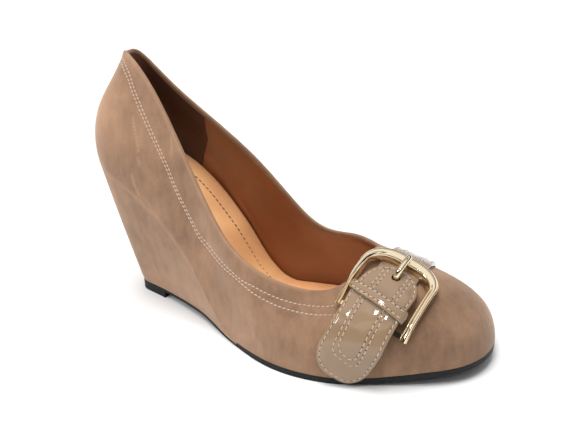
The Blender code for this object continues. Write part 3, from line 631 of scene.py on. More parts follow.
# The camera that took the photograph
CAMERA_AT = (0.2570, -0.3036, 0.2223)
CAMERA_AZIMUTH = 29.814
CAMERA_ELEVATION = 25.025
CAMERA_ROLL = -1.381
CAMERA_LENS = 47.61
CAMERA_SENSOR = 36

# The lights. Suns: direction and how many degrees wide. Small lamps: place, aim and side
KEY_SUN = ((0.10, 0.05, -1), 30)
SIDE_SUN = ((0.80, 0.48, -0.28), 40)
WINDOW_LAMP = ((-0.30, -0.62, 0.62), (0.10, 0, 0.04), 0.16)
FLASH_LAMP = ((0.15, -0.33, 0.56), (0.15, -0.04, 0.03), 0.06)
# Grey of the surroundings by height, from level at 0 to straight up at 1
SKY_STOPS = (
    (0, 1), (0.05, 1), (0.10, 0.40), (0.28, 0.35), (0.34, 0.03), (0.58, 0.02), (0.63, 1), (0.74, 1),
    (0.77, 0.10), (0.82, 0.10), (0.85, 1), (1, 1),
)
FLOOR_REACH = 4


def fine_rows(steps):
    """Places round the shoe, steps times finer than the part's facets and paired in the same way."""
    return np.array([
        i + k / (rib.steps * steps) for i, rib in enumerate(RIBS) for k in range(rib.steps * steps)
    ])


def skin_length(row):
    """Metres of skin for each unit of height, near the collar."""
    step = 0.02
    run = skin(row, [1 - step, 1])
    return np.linalg.norm(run[:, 1] - run[:, 0], axis=1) / step


def outer_row(row):
    """The outer side's place that faces this one, so that one table serves both sides."""
    return np.minimum(row % ROWS, ROWS - row % ROWS)


seam_low = smooth_line([(seam.row, seam.low) for seam in COLLAR_SEAM])
seam_high = smooth_line([(seam.row, seam.high) for seam in COLLAR_SEAM])


def distance_to_line(points, line):
    """Each point's distance to a line of points in space."""
    best = np.full(len(points), np.inf)
    for a, b in zip(line[:-1], line[1:]):
        run = b - a
        share = np.clip((points - a) @ run / (run @ run), 0, 1)
        best = np.minimum(best, np.linalg.norm(points - a - share[:, None] * run, axis=1))
    return best


def spline(a, b, c, d, share):
    """A place between b and c on a smooth line through four places."""
    bend = (2 * a - 5 * b + 4 * c - d) * share**2 + (3 * b - a - 3 * c + d) * share**3
    return 0.5 * (2 * b + (c - a) * share + bend)


def skin_line(places, cuts=6):
    """A smooth line on the skin through places (rib, height)."""
    places = np.array(places, float)
    ends = np.vstack([2 * places[0] - places[1], places, 2 * places[-1] - places[-2]])
    line = []
    for k in range(1, len(ends) - 2):
        for share in np.linspace(0, 1, cuts, endpoint=k == len(ends) - 3):
            line.append(spline(*ends[k - 1:k + 3], share))
    rows, heights = np.array(line).T
    return skin(rows, heights[:, None])[:, 0]


def ring_faces(rings, around, wrap=True):
    """Quads between rings of points. The rings close on themselves, and wrap joins the last to the first."""
    i = np.arange(rings if wrap else rings - 1)[:, None]
    k = np.arange(around)[None, :]
    j, after = (i + 1) % rings, (k + 1) % around
    quads = [i * around + k, j * around + k, j * around + after, i * around + after]
    return np.stack(quads, 2).reshape(-1, 4)


def add_piece(name, points, faces, finishes, slot, replaces=(), face_finish=None, sharp=None):
    """A closed mesh that rides on the part, with outward faces and its finishes."""
    mesh = bpy.data.meshes.new(name)
    mesh.from_pydata(np.asarray(points).tolist(), [], [list(map(int, f)) for f in faces])
    for finish in finishes:
        mesh.materials.append(finish)
    if face_finish is not None:
        mesh.polygons.foreach_set("material_index", np.asarray(face_finish, np.int32))
    work = bmesh.new()
    work.from_mesh(mesh)
    bmesh.ops.remove_doubles(work, verts=work.verts, dist=1e-7)
    bmesh.ops.recalc_face_normals(work, faces=work.faces)
    work.to_mesh(mesh)
    work.free()
    mesh.shade_smooth()
    if sharp is not None:
        mesh.set_sharp_from_angle(angle=math.radians(sharp))
    piece = bpy.data.objects.new(name, mesh)
    bpy.context.scene.collection.objects.link(piece)
    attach(piece, ROOT)
    if replaces:
        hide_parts(*replaces)
    return piece


def new_finish(name, colour, roughness, **sockets):
    """A material with its plain values on the shader's own sockets."""
    finish = bpy.data.materials.new(name)
    finish.use_nodes = True
    shader = finish.node_tree.nodes["Principled BSDF"]
    shader.inputs["Base Color"].default_value = (*colour, 1)
    shader.inputs["Roughness"].default_value = roughness
    for socket, value in sockets.items():
        shader.inputs[socket.replace("_", " ")].default_value = value
    return finish


def add_node(finish, kind, **settings):
    node = finish.node_tree.nodes.new(kind)
    for key, value in settings.items():
        setattr(node, key, value)
    return node


def noise(finish, scale, detail=3.0, rough=0.5, stretch=(1, 1, 1)):
    """Noise fixed to the piece, its scale in turns per metre."""
    links = finish.node_tree.links
    place = add_node(finish, "ShaderNodeTexCoord")
    mapping = add_node(finish, "ShaderNodeMapping")
    mapping.inputs["Scale"].default_value = stretch
    texture = add_node(finish, "ShaderNodeTexNoise")
    texture.inputs["Scale"].default_value = scale
    texture.inputs["Detail"].default_value = detail
    texture.inputs["Roughness"].default_value = rough
    links.new(place.outputs["Object"], mapping.inputs["Vector"])
    links.new(mapping.outputs["Vector"], texture.inputs["Vector"])
    return texture.outputs["Fac"]


def spread(finish, value, low, high):
    """Stretches a value's range from low to high to the whole of 0 to 1, clamped at both ends."""
    node = add_node(finish, "ShaderNodeMapRange")
    node.inputs["From Min"].default_value = low
    node.inputs["From Max"].default_value = high
    finish.node_tree.links.new(value, node.inputs["Value"])
    return node.outputs["Result"]


def mixed(finish, share, first, second):
    """A colour between two, each a colour or an output."""
    node = add_node(finish, "ShaderNodeMix", data_type="RGBA")
    for socket, colour in ((node.inputs[6], first), (node.inputs[7], second)):
        if isinstance(colour, bpy.types.NodeSocket):
            finish.node_tree.links.new(colour, socket)
        else:
            socket.default_value = (*colour, 1)
    finish.node_tree.links.new(share, node.inputs[0])
    return node.outputs[2]


def set_colour(finish, colour):
    shader = finish.node_tree.nodes["Principled BSDF"]
    finish.node_tree.links.new(colour, shader.inputs["Base Color"])


def add_relief(finish, heights, depths, strength):
    """Fine relief, one bump after another, from outputs that run from 0 to 1."""
    links = finish.node_tree.links
    before = None
    for height, depth in zip(heights, depths):
        bump = add_node(finish, "ShaderNodeBump")
        bump.inputs["Strength"].default_value = strength
        bump.inputs["Distance"].default_value = depth
        links.new(height, bump.inputs["Height"])
        if before is not None:
            links.new(before, bump.inputs["Normal"])
        before = bump.outputs["Normal"]
    links.new(before, finish.node_tree.nodes["Principled BSDF"].inputs["Normal"])


def tint(colour, factor):
    return tuple(min(1.0, channel * factor) for channel in colour)


def suede_finish(colour):
    """Brushed suede: patches of nap, the shader's pale sheen, and paler marks: real scratches, painted
    highlights and painted sheen.
    """
    finish = new_finish(
        "brushed_suede", colour, 0.92, Sheen_Weight=0.55, Sheen_Roughness=0.42,
        Sheen_Tint=(1.0, 0.84, 0.70, 1), Specular_IOR_Level=0.18,
    )
    patches = spread(finish, noise(finish, scale=34, detail=4, rough=0.62), 0.32, 0.68)
    strokes = spread(finish, noise(finish, scale=210, detail=3, rough=0.6, stretch=(1, 1, 0.35)), 0.3, 0.7)
    nap = spread(finish, noise(finish, scale=2600, detail=2, rough=0.7), 0.2, 0.8)
    base = mixed(finish, patches, tint(colour, 0.62), tint(colour, 1.36))
    stroked = mixed(finish, strokes, tint(colour, 0.72), tint(colour, 1.26))
    both = add_node(finish, "ShaderNodeMix", data_type="RGBA")
    both.inputs[0].default_value = 0.45
    finish.node_tree.links.new(base, both.inputs[6])
    finish.node_tree.links.new(stroked, both.inputs[7])
    fibres = add_node(finish, "ShaderNodeMix", data_type="RGBA", blend_type="MULTIPLY")
    fibres.inputs[0].default_value = 0.75
    finish.node_tree.links.new(both.outputs[2], fibres.inputs[6])
    grains = mixed(finish, nap, (0.60, 0.60, 0.60), (1.08, 1.08, 1.08))
    finish.node_tree.links.new(grains, fibres.inputs[7])
    rub = add_node(finish, "ShaderNodeAttribute", attribute_name="rub")
    # Paler where the suede is scratched, and painted highlight and painted sheen on heel swell, toe crown and
    # collar edges
    set_colour(finish, mixed(finish, rub.outputs["Fac"], fibres.outputs[2], tint(colour, 1.75)))
    add_relief(finish, (strokes, nap), (0.00010, 0.00012), 0.55)
    return finish


def patent_finish(colour):
    """Patent leather: a smooth coat over the taupe base, hardly uneven."""
    finish = new_finish(
        "taupe_patent", colour, 0.32, Coat_Weight=1.0, Coat_Roughness=0.025, Coat_IOR=1.55,
        Specular_IOR_Level=0.1,
    )
    clouds = spread(finish, noise(finish, scale=90, detail=2), 0.35, 0.65)
    set_colour(finish, mixed(finish, clouds, tint(colour, 0.96), tint(colour, 1.04)))
    ripples, waves = noise(finish, scale=420, detail=1), noise(finish, scale=120, detail=1)
    add_relief(finish, (ripples, waves), (0.00006, 0.00022), 0.5)
    return finish


def grain_leather(name, colour, roughness, coat, scale, depth):
    """Smooth leather with a fine grain and a cloudy tone."""
    finish = new_finish(name, colour, roughness, Coat_Weight=coat, Coat_Roughness=0.28)
    clouds = spread(finish, noise(finish, scale=55, detail=3), 0.3, 0.7)
    set_colour(finish, mixed(finish, clouds, tint(colour, 0.84), tint(colour, 1.12)))
    grain = add_node(finish, "ShaderNodeTexVoronoi", feature="DISTANCE_TO_EDGE")
    grain.inputs["Scale"].default_value = scale
    place = add_node(finish, "ShaderNodeTexCoord")
    finish.node_tree.links.new(place.outputs["Object"], grain.inputs["Vector"])
    pores = spread(finish, grain.outputs["Distance"], 0.0, 0.22)
    add_relief(finish, (noise(finish, scale=160, detail=2), pores), (0.00025, depth), 0.5)
    return finish


def gold_finish(colour):
    """Polished plating, hardly uneven."""
    finish = new_finish("pale_gold", colour, 0.06, Metallic=1.0, Specular_IOR_Level=0.5)
    add_relief(finish, (noise(finish, scale=700, detail=2),), (0.00001,), 0.4)
    return finish


def rubber_finish(colour):
    """Matt black rubber with paler specks."""
    finish = new_finish("black_rubber", colour, 0.55, Specular_IOR_Level=0.2)
    specks = spread(finish, noise(finish, scale=900, detail=3), 0.35, 0.75)
    set_colour(finish, mixed(finish, specks, colour, tint(colour, 2.6)))
    add_relief(finish, (noise(finish, scale=1500, detail=3),), (0.00012,), 0.6)
    return finish


def thread_finish(name, colour):
    finish = new_finish(name, colour, 0.62, Sheen_Weight=0.25)
    add_relief(finish, (noise(finish, scale=3800, detail=1),), (0.00008,), 0.6)
    return finish


def stitches(line, normals, pitch, thick):
    """Points and faces of a row of stitches along a fine line, with each hole's place and normal."""
    line, normals = np.asarray(line), np.asarray(normals)
    steps = np.linalg.norm(np.diff(line, axis=0), axis=1)
    at = np.concatenate([[0], np.cumsum(steps)])
    count = max(2, round(at[-1] / pitch))
    step = at[-1] / count

    def sample(values, place):
        return np.stack([np.interp(place, at, values[:, k]) for k in range(3)], -1)

    shares, sides = np.array(STITCH_RINGS), STITCH_SIDES
    points, faces, holes = [], [], []
    for k in range(count):
        start = (k + STITCH_GAP / 2) * step
        place = start + shares * step * (1 - STITCH_GAP)
        centre, normal = sample(line, place), sample(normals, place)
        normal /= np.linalg.norm(normal, axis=1, keepdims=True)
        run = np.gradient(centre, axis=0)
        run /= np.linalg.norm(run, axis=1, keepdims=True)
        side = np.cross(normal, run)
        arch = np.sin(math.pi * shares)[:, None] ** 0.5
        lean = (shares - 0.5)[:, None] * STITCH_SLANT * thick * 2
        middle = centre + normal * thick * (STITCH_ARCH * arch - STITCH_SINK) + side * lean
        radius = thick * 0.5 * (STITCH_WAIST + (1 - STITCH_WAIST) * arch)
        base = len(points)
        for ring in range(len(shares)):
            for turn in range(sides):
                angle = 2 * math.pi * turn / sides
                aside = STITCH_FLATTENED * math.cos(angle) * side[ring]
                points.append(middle[ring] + radius[ring] * (aside + math.sin(angle) * normal[ring]))
        for ring in range(len(shares) - 1):
            for turn in range(sides):
                a, b = base + ring * sides + turn, base + ring * sides + (turn + 1) % sides
                faces.append((a, b, b + sides, a + sides))
        faces.append(tuple(base + turn for turn in reversed(range(sides))))
        faces.append(tuple(base + (len(shares) - 1) * sides + turn for turn in range(sides)))
        holes.append((sample(line, k * step), sample(normals, k * step), side[0]))
    return points, faces, holes


def hole_marks(holes, radius, aside):
    """Needle holes, each a low closed dome on the surface; their near-black finish is painted shade of the
    hole.
    """
    points, faces = [], []
    sides = HOLE_SIDES
    for place, normal, side in holes:
        normal = normal / np.linalg.norm(normal)
        run = np.cross(normal, side)
        run /= max(np.linalg.norm(run), 1e-9)
        across = np.cross(run, normal)
        centre = place + across * aside
        base = len(points)
        points += [centre + normal * HOLE_CROWN, centre - normal * HOLE_DEPTH]
        for turn in range(sides):
            angle = 2 * math.pi * turn / sides
            ray = math.cos(angle) * across + math.sin(angle) * run
            points.append(centre + normal * HOLE_RIM + radius * ray)
        for turn in range(sides):
            a, b = base + 2 + turn, base + 2 + (turn + 1) % sides
            faces += [(base, a, b), (base + 1, b, a)]
    return points, faces


def joined(parts):
    """Several (points, faces) as one."""
    points, faces = [], []
    for some_points, some_faces in parts:
        base = len(points)
        points += list(some_points)
        faces += [tuple(base + int(k) for k in face) for face in some_faces]
    return points, faces


def wave_at(wave, place, across):
    """A wave along one axis that is swayed by a slower one along another."""
    return np.sin(place * wave.turns + wave.sway * np.sin(across * wave.sway_turns) + wave.start)


def skin_relief(points, rows, heights, lengths):
    """How far the suede stands off the plain skin: seam grooves, creases and a soft unevenness."""
    side = outer_row(rows)
    off = np.zeros(len(points))
    under_seam = np.where(rows <= ROWS / 2, side < SEAM_END, side < INNER_SEAM_END)
    for line in (seam_low, seam_high):
        gap = (heights - line(side)) * lengths
        off -= np.where(under_seam, COLLAR_GROOVE * np.exp(-(gap / COLLAR_GROOVE_WIDTH) ** 2), 0)
    for crease in CREASES:
        line = skin_line(crease.places)
        near = np.linalg.norm(points - line.mean(0), axis=1) < CREASE_REACH
        gap = distance_to_line(points[near], line) / crease.width
        shoulder = CREASE_SHOULDER * np.exp(-((gap - SHOULDER_AT) / SHOULDER_WIDTH) ** 2)
        off[near] -= crease.depth * (np.exp(-gap**2) - shoulder)
    x, y, z = points.T
    wave = wave_at(WAVE_ALONG, x, z) + wave_at(WAVE_UP, z, y)
    return off + UNEVEN * wave * np.sin(math.pi * np.clip(heights, 0, 1))


def set_scuffs_and_highlights(piece):
    """Stores how much paler each point is, for the suede's colour: scratches, painted highlights and painted
    sheen.
    """
    mesh = piece.data
    points = np.empty(len(mesh.vertices) * 3)
    mesh.vertices.foreach_get("co", points)
    points = points.reshape(-1, 3)
    scuff_and_highlight_share = np.zeros(len(points))
    for rub in SCUFFS_AND_HIGHLIGHTS:
        line = skin_line(rub.places)
        reach = np.linalg.norm(line - line.mean(0), axis=1).max() + 4 * rub.width
        near = np.linalg.norm(points - line.mean(0), axis=1) < reach
        gap = distance_to_line(points[near], line) / rub.width
        scuff_and_highlight_share[near] = np.maximum(scuff_and_highlight_share[near], rub.strength * np.exp(-gap**2))
    layer = mesh.attributes.new("rub", "FLOAT", "POINT")
    layer.data.foreach_set("value", scuff_and_highlight_share.astype(np.float32))


def fold_share(rows):
    """The fold inside the collar narrows towards the back."""
    rise = np.clip(outer_row(rows) / FOLD_WHOLE, 0, 1)
    return FOLD_BACK + (1 - FOLD_BACK) * rise * rise * (3 - 2 * rise)


def make_suede_wall(finish):
    """The suede: its outer face, the rounded collar and the fold inside, as one closed wall."""
    rows = fine_rows(FINE_ROUND)
    length = skin_length(rows)
    heights = np.linspace(0, 1, SKIN_LEVELS)[None, :] * (1 - LIP_RADIUS / length)[:, None]
    outside, normals = skin(rows, heights), skin_normals(rows, heights)
    shape = heights.shape
    off = skin_relief(
        outside.reshape(-1, 3), np.repeat(rows, shape[1]), heights.ravel(), np.repeat(length, shape[1])
    ).reshape(shape)
    off[:, 0] = 0
    outside = outside + normals * off[..., None]

    top, normal = skin(rows, [1])[:, 0], skin_normals(rows, [1])[:, 0]
    rise = top - skin(rows, [0.99])[:, 0]
    rise /= np.linalg.norm(rise, axis=1, keepdims=True)
    centre = top - LIP_RADIUS * (rise + normal)
    turns = np.linspace(0, math.pi, LIP_STEPS + 1)[1:]
    lip = np.stack([centre + LIP_RADIUS * (math.cos(a) * normal + math.sin(a) * rise) for a in turns], 1)

    def below(depths, thickness):
        at = 1 - np.asarray(depths)[None, :] * fold_share(rows)[:, None] / length[:, None]
        return skin(rows, at) - thickness * skin_normals(rows, at)

    fold = below(np.linspace(2.2 * LIP_RADIUS, FOLD_DEPTH, 5), WALL + FOLD_PROUD)
    fold_end = below([FOLD_DEPTH + FOLD_TURN], WALL)
    back = below([FOLD_DEPTH + FOLD_OVERLAP], SUEDE_THICKNESS)
    hidden_heights = np.linspace(*HIDDEN_HEIGHTS, HIDDEN_CUTS)
    hidden = skin(rows, hidden_heights) - SUEDE_THICKNESS * skin_normals(rows, hidden_heights)
    foot = outside[:, :1] - SUEDE_THICKNESS * outward(rows)[:, None]
    foot[:, 0, 2] = seat_height(foot[:, 0, 0])
    grid = np.concatenate([outside, lip, fold, fold_end, back, hidden, foot], 1)
    faces = ring_faces(*grid.shape[:2])
    piece = add_piece("upper_suede", grid.reshape(-1, 3), faces, [finish], "suede", ("upper",), sharp=60)
    set_scuffs_and_highlights(piece)


def pocket_row(height):
    """The outer side's place of the seam between heel pocket and quarter lining, by height."""
    heights, rows = zip(*sorted(POCKET_SEAM + ((1.0, POCKET_TOP),)))
    return np.interp(height, heights, rows)


def bulge_at(bulge, height, row):
    """How far the lining bulges inwards at each height and outer rib."""
    up = (height - bulge.height - bulge.rise * (row - bulge.row)) / bulge.height_width
    beside = (row - bulge.row) / bulge.row_width
    return bulge.depth * np.exp(-(up**2)) * np.exp(-(beside**2))


def lining_surface(rows, heights):
    """The lining's shown face, with the soft roll where it turns onto the insole."""
    inside = skin(rows, heights) - WALL * skin_normals(rows, heights)
    at = np.broadcast_to(np.atleast_2d(heights), inside.shape[:2])
    inside[:, :, 2] = np.maximum(inside[:, :, 2], seat_height(inside[:, :, 0]))
    side = outer_row(rows)[:, None]
    roll, pull = bulge_at(LINING_ROLL, at, side), bulge_at(LINING_PULL, at, side)
    ridge = POCKET_RIDGE * np.exp(-(((side - pocket_row(at)) / POCKET_RIDGE_WIDTH) ** 2))
    return inside + (ridge - roll - pull)[..., None] * skin_normals(rows, heights)


def make_lining(quarters, pocket, seam_thread, stitching):
    """Glossy quarters and a matt heel pocket, sewn together on both sides."""
    rows = fine_rows(LINING_ROUND)
    sides = outer_row(rows)
    seam_at = rows[np.argmin(abs(rows - np.mean([row for _, row in POCKET_SEAM])))]
    top = 1 - (FOLD_DEPTH - FOLD_OVERLAP) * fold_share(rows) / skin_length(rows)
    heights = np.linspace(0, 1, LINING_LEVELS)[None, :] ** LINING_BUNCH * top[:, None]
    near_seam = np.exp(-(((sides - seam_at) / POCKET_BEND) ** 2))[:, None]
    bend = (pocket_row(heights) - seam_at) * near_seam
    bent = (rows[:, None] + np.where(rows <= ROWS / 2, 1, -1)[:, None] * bend) % ROWS
    flat_rows, flat_heights = bent.ravel(), heights.ravel()[:, None]
    glued = SUEDE_THICKNESS + LINING_GLUE
    inside = lining_surface(flat_rows, flat_heights).reshape(*bent.shape, 3)
    behind = skin(flat_rows, flat_heights) - glued * skin_normals(flat_rows, flat_heights)
    behind = behind.reshape(*bent.shape, 3)
    for face, depth in ((inside, WALL), (behind, glued)):
        face[:, 0] = lower_edge(bent[:, 0]) - depth * outward(bent[:, 0])
        face[:, 0, 2] = seat_height(face[:, 0, 0])
    grid = np.concatenate([inside, behind[:, ::-4]], 1)
    middles = outer_row((rows + np.append(rows[1:], ROWS)) / 2)
    add_piece(
        "upper_lining", grid.reshape(-1, 3), ring_faces(*grid.shape[:2]), [quarters, pocket], "lining",
        face_finish=np.repeat(middles < seam_at, grid.shape[1]), sharp=60,
    )
    made = []
    for side in (1, -1):
        at = np.linspace(*POCKET_THREAD_HEIGHTS, POCKET_SEAM_CUTS)
        row = side * (pocket_row(at) - POCKET_THREAD_ASIDE) % ROWS
        line = lining_surface(row, at[:, None])[:, 0]
        normal = -skin_normals(row, at[:, None])[:, 0]
        pitch, thickness = (LINING_STITCH * size for size in (stitching.pitch, stitching.thickness))
        made.append(stitches(line, normal, pitch, thickness)[:2])
    add_piece("lining_seam_thread", *joined(made), [seam_thread], "thread")


def make_wedge_cover(finish):
    """The suede round the wedge, up to the upper's edge."""
    rows = fine_rows(FINE_ROUND)
    base = base_outline(rows)
    foot = with_height(base, under_height(base[:, 0]) + SHANK_SOLE_THICKNESS + CLEARANCE / 2)
    seat = lower_edge(rows)
    seat[:, 2] -= COVER_GAP
    wedge = int(np.argmin(abs(rows - WEDGE_ROW)))
    shares = np.linspace(0, 1, WEDGE_LEVELS) ** 0.9
    out = outward(rows)
    levels = []
    for share in shares:
        swell = WEDGE_SWELL * math.sin(math.pi * share) - WEDGE_TUCK * (share == 0)
        levels.append(stations(foot + share * (seat - foot) + swell * out, 0, wedge))
    piece = add_piece("wedge_cover", *slab(levels), [finish], "suede", ("wedge",), sharp=50)
    set_scuffs_and_highlights(piece)


def insole_edge(rows, inset=0.0):
    """The sock's outline on the seat, or a line this far inside it."""
    edge = lower_edge(rows) - (WALL + SOCK_GAP + inset) * outward(rows)
    return with_height(edge, seat_height(edge[:, 0]))


def insole_top(points, border):
    """Height of the padded top over each point, by its distance from the border."""
    gap = np.full(len(points), np.inf)
    for start in range(0, len(border), 64):
        some = border[start:start + 64]
        run = np.hypot(points[:, None, 0] - some[None, :, 0], points[:, None, 1] - some[None, :, 1])
        gap = np.minimum(gap, run.min(1))
    edge = SOCK_FALL * np.exp(-gap / SOCK_FALL_WIDTH)
    groove = SOCK_GROOVE * np.exp(-(((gap - INSOLE_SEAM) / SOCK_GROOVE_WIDTH) ** 2))
    pad = SOCK_PAD * (1 - np.exp(-np.maximum(gap - INSOLE_SEAM, 0) / SOCK_PAD_WIDTH))
    thick = INSOLE_THICKNESS - edge - groove + pad
    return seat_height(points[:, 0]) + thick * seat_stretch(points[:, 0])


def make_insole_sock(finish, seam_thread, stitching):
    """The padded sock, with its dark seam a little inside the edge."""
    rows = fine_rows(SOCK_ROUND)
    border = insole_edge(rows)
    half = len(rows) // 2
    across = np.concatenate([[0], (1 - np.cos(np.linspace(0, math.pi, SOCK_COLUMNS)[1:-1])) / 2, [1]])
    outer, inner = border[:half + 1], border[(-np.arange(half + 1)) % len(rows)]
    low = outer[:, None] + across[None, :, None] * (inner - outer)[:, None]
    low[..., 2] = seat_height(low[..., 0]) + COVER_GAP
    high = low.copy()
    high[..., 2] = insole_top(high.reshape(-1, 3), border).reshape(high.shape[:2])
    loops = np.concatenate([high, low[:, ::-1]], 1)
    faces = ring_faces(*loops.shape[:2], wrap=False)
    add_piece("insole_sock", loops.reshape(-1, 3), faces, [finish], "insole_leather", ("insole",), sharp=60)
    inner_end, outer_end = SOCK_SEAM_ENDS
    inner_rows = np.linspace(inner_end, ROWS, SOCK_SEAM_CUTS)
    outer_rows = np.linspace(0, outer_end, SOCK_SEAM_CUTS)[1:]
    seam_rows = np.concatenate([inner_rows, outer_rows]) % ROWS
    line = insole_edge(seam_rows, INSOLE_SEAM)
    line[:, 2] = insole_top(line, border)
    rise = np.gradient(line, axis=0)
    normal = np.cross(rise, -outward(seam_rows))
    normal *= np.sign(normal[:, 2:3])
    points, faces, _ = stitches(line, normal, stitching.pitch, stitching.thickness * SOCK_THREAD)
    add_piece("insole_seam_thread", points, faces, [seam_thread], "thread")


def make_sole_pieces(finish):
    """The black sheet and the heel lift, with their edges broken."""
    rows = fine_rows(SOLE_ROUND)
    base = base_outline(rows)
    low = with_height(base, under_height(base[:, 0]))
    lift, wedge = (int(np.argmin(abs(rows - row))) for row in (LIFT_ROW, WEDGE_ROW))
    toe = len(rows) // 2
    ahead = np.array([CLEARANCE, 0, 0])
    shank, front = stations(low, lift, wedge), stations(low, wedge, toe)
    for run in (shank, front):
        run[0] = [point + ahead for point in run[0]]
    thin, full = np.array([0, 0, SHANK_SOLE_THICKNESS]), np.array([0, 0, SOLE_THICKNESS])
    top = [[p + thin for p in pair] for pair in shank] + [[p + full for p in pair] for pair in front]
    pieces = [add_piece("sole_sheet", *slab([shank + front, top]), [finish], "sole", ("outsole",), sharp=35)]
    levels = [stations(with_height(base, z), 0, lift) for z in (0, LIFT_THICKNESS * 0.5, LIFT_THICKNESS)]
    pieces.append(add_piece("heel_top_piece", *slab(levels), [finish], "sole", ("heel_lift",), sharp=35))
    for piece in pieces:
        edge = piece.modifiers.new("broken edge", "BEVEL")
        edge.width = SOLE_EDGE
        edge.segments = 2
        edge.limit_method = "ANGLE"
        edge.angle_limit = math.radians(50)


def rounding(gap):
    """How far a band's top falls at this distance from its edge."""
    share = 1 - np.clip(gap, 0, EDGE_ROUNDING) / EDGE_ROUNDING
    return EDGE_ROUNDING * (1 - math.sqrt(max(1 - share * share, 0)))


def dip(gap):
    """How deep a seam's thread pulls the band in, at this distance from it."""
    return SEAM_DIP * math.exp(-((gap / SEAM_DIP_WIDTH) ** 2))


def band(vamp, places, middle_at, half_at, round_at, low_at, high_at):
    """Points and faces of a band laid on the vamp, from its flat pattern's places and shares across."""
    shares = np.sin(np.linspace(-math.pi / 2, math.pi / 2, BAND_COLUMNS))
    under = shares[::-6]
    sections = []
    for place in places:
        middle, half = middle_at(place), half_at(place)
        section = []
        for share in shares:
            fore = middle + share * half
            section.append(vamp.place(fore, round_at(place, share), high_at(fore, place)))
        for share in under:
            section.append(vamp.place(middle + share * half, round_at(place, share), low_at(place)))
        sections.append(section)
    return loft(sections)


def strap_gap(fore):
    """Distance in from the strap's side."""
    return STRAP_WIDTH / 2 - abs(fore - STRAP_MIDDLE)


def strap_top(fore, _round):
    """The strap's top off the skin, which is the same all along it."""
    gap, across = strap_gap(fore), abs(fore - STRAP_MIDDLE)
    dips = dip(gap - STRAP_EDGE_SEAM) + sum(dip(across - seam) for seam in STRAP_INNER_SEAMS)
    return STRAP_LIFT + STRAP_THICKNESS - rounding(gap) - dips


def tab_gap(fore, round_):
    """Distance in from the tab's outline."""
    half, beside = TAB_WIDTH / 2, abs(fore - tab_middle(round_))
    if round_ < TAB_TOP + half:
        return half - math.hypot(beside, TAB_TOP + half - round_)
    past_side, past_end = beside - (half - TAB_CORNER), round_ - (TAB_END - TAB_CORNER)
    if past_side > 0 and past_end > 0:
        return TAB_CORNER - math.hypot(past_side, past_end)
    return min(half - beside, TAB_END - round_)


def tab_seam_gap(fore, round_, width, end):
    """Distance from one of the tab's inner U seams."""
    beside = abs(fore - tab_middle(round_))
    past_side, past_end = beside - (width - TAB_INNER_CORNER), round_ - (end - TAB_INNER_CORNER)
    if past_side > 0 and past_end > 0:
        return abs(math.hypot(past_side, past_end) - TAB_INNER_CORNER)
    return abs(beside - width) if past_end <= 0 else abs(round_ - end)


def tab_top(fore, round_):
    """The tab's top off the skin, with its seams, its padding and its rounded edge."""
    gap = tab_gap(fore, round_)
    dips = dip(gap - TAB_EDGE_SEAM)
    for width, end in zip(TAB_INNER_SEAMS, TAB_INNER_ENDS):
        dips += dip(tab_seam_gap(fore, round_, width, end))
    padding = TAB_PADDING * (1 - math.exp(-max(gap - TAB_EDGE_SEAM, 0) / TAB_PADDING_WIDTH))
    return float(TAB_LIFT(round_)) + TAB_THICKNESS - TAB_SINK + padding - rounding(gap) - dips


def sewn(vamp, places, top_at, stitching, lie=lambda fore, round_: round_):
    """A row of stitches over a band's (fore, round) places, and its needle holes."""
    line = [vamp.place(fore, lie(fore, round_), top_at(fore, round_)) for fore, round_ in places]
    normal = [vamp.normal(fore, lie(fore, round_)) for fore, round_ in places]
    points, faces, holes = stitches(line, normal, stitching.pitch, stitching.thickness * PATENT_THREAD)
    return (points, faces), hole_marks(holes, stitching.thickness * PATENT_HOLE, PATENT_HOLE_ASIDE)


def make_strap_piece(vamp, finish):
    """The strap, from the outsole's inner edge over the vamp to its hidden end below the tab."""
    half = STRAP_WIDTH / 2
    shares = np.sin(np.linspace(-math.pi / 2, math.pi / 2, BAND_COLUMNS))
    feet_at = [vamp.foot_round(STRAP_MIDDLE + share * half) for share in shares]

    def round_at(way, share):
        foot = float(np.interp(share, shares, feet_at))
        return foot + way * (STRAP_END - foot)

    points, faces = band(
        vamp, np.linspace(0, 1, STRAP_STATIONS), lambda way: STRAP_MIDDLE, lambda way: half, round_at,
        lambda round_: STRAP_LIFT, strap_top,
    )
    add_piece("patent_strap", points, faces, [finish], "patent", ("strap",), sharp=50)


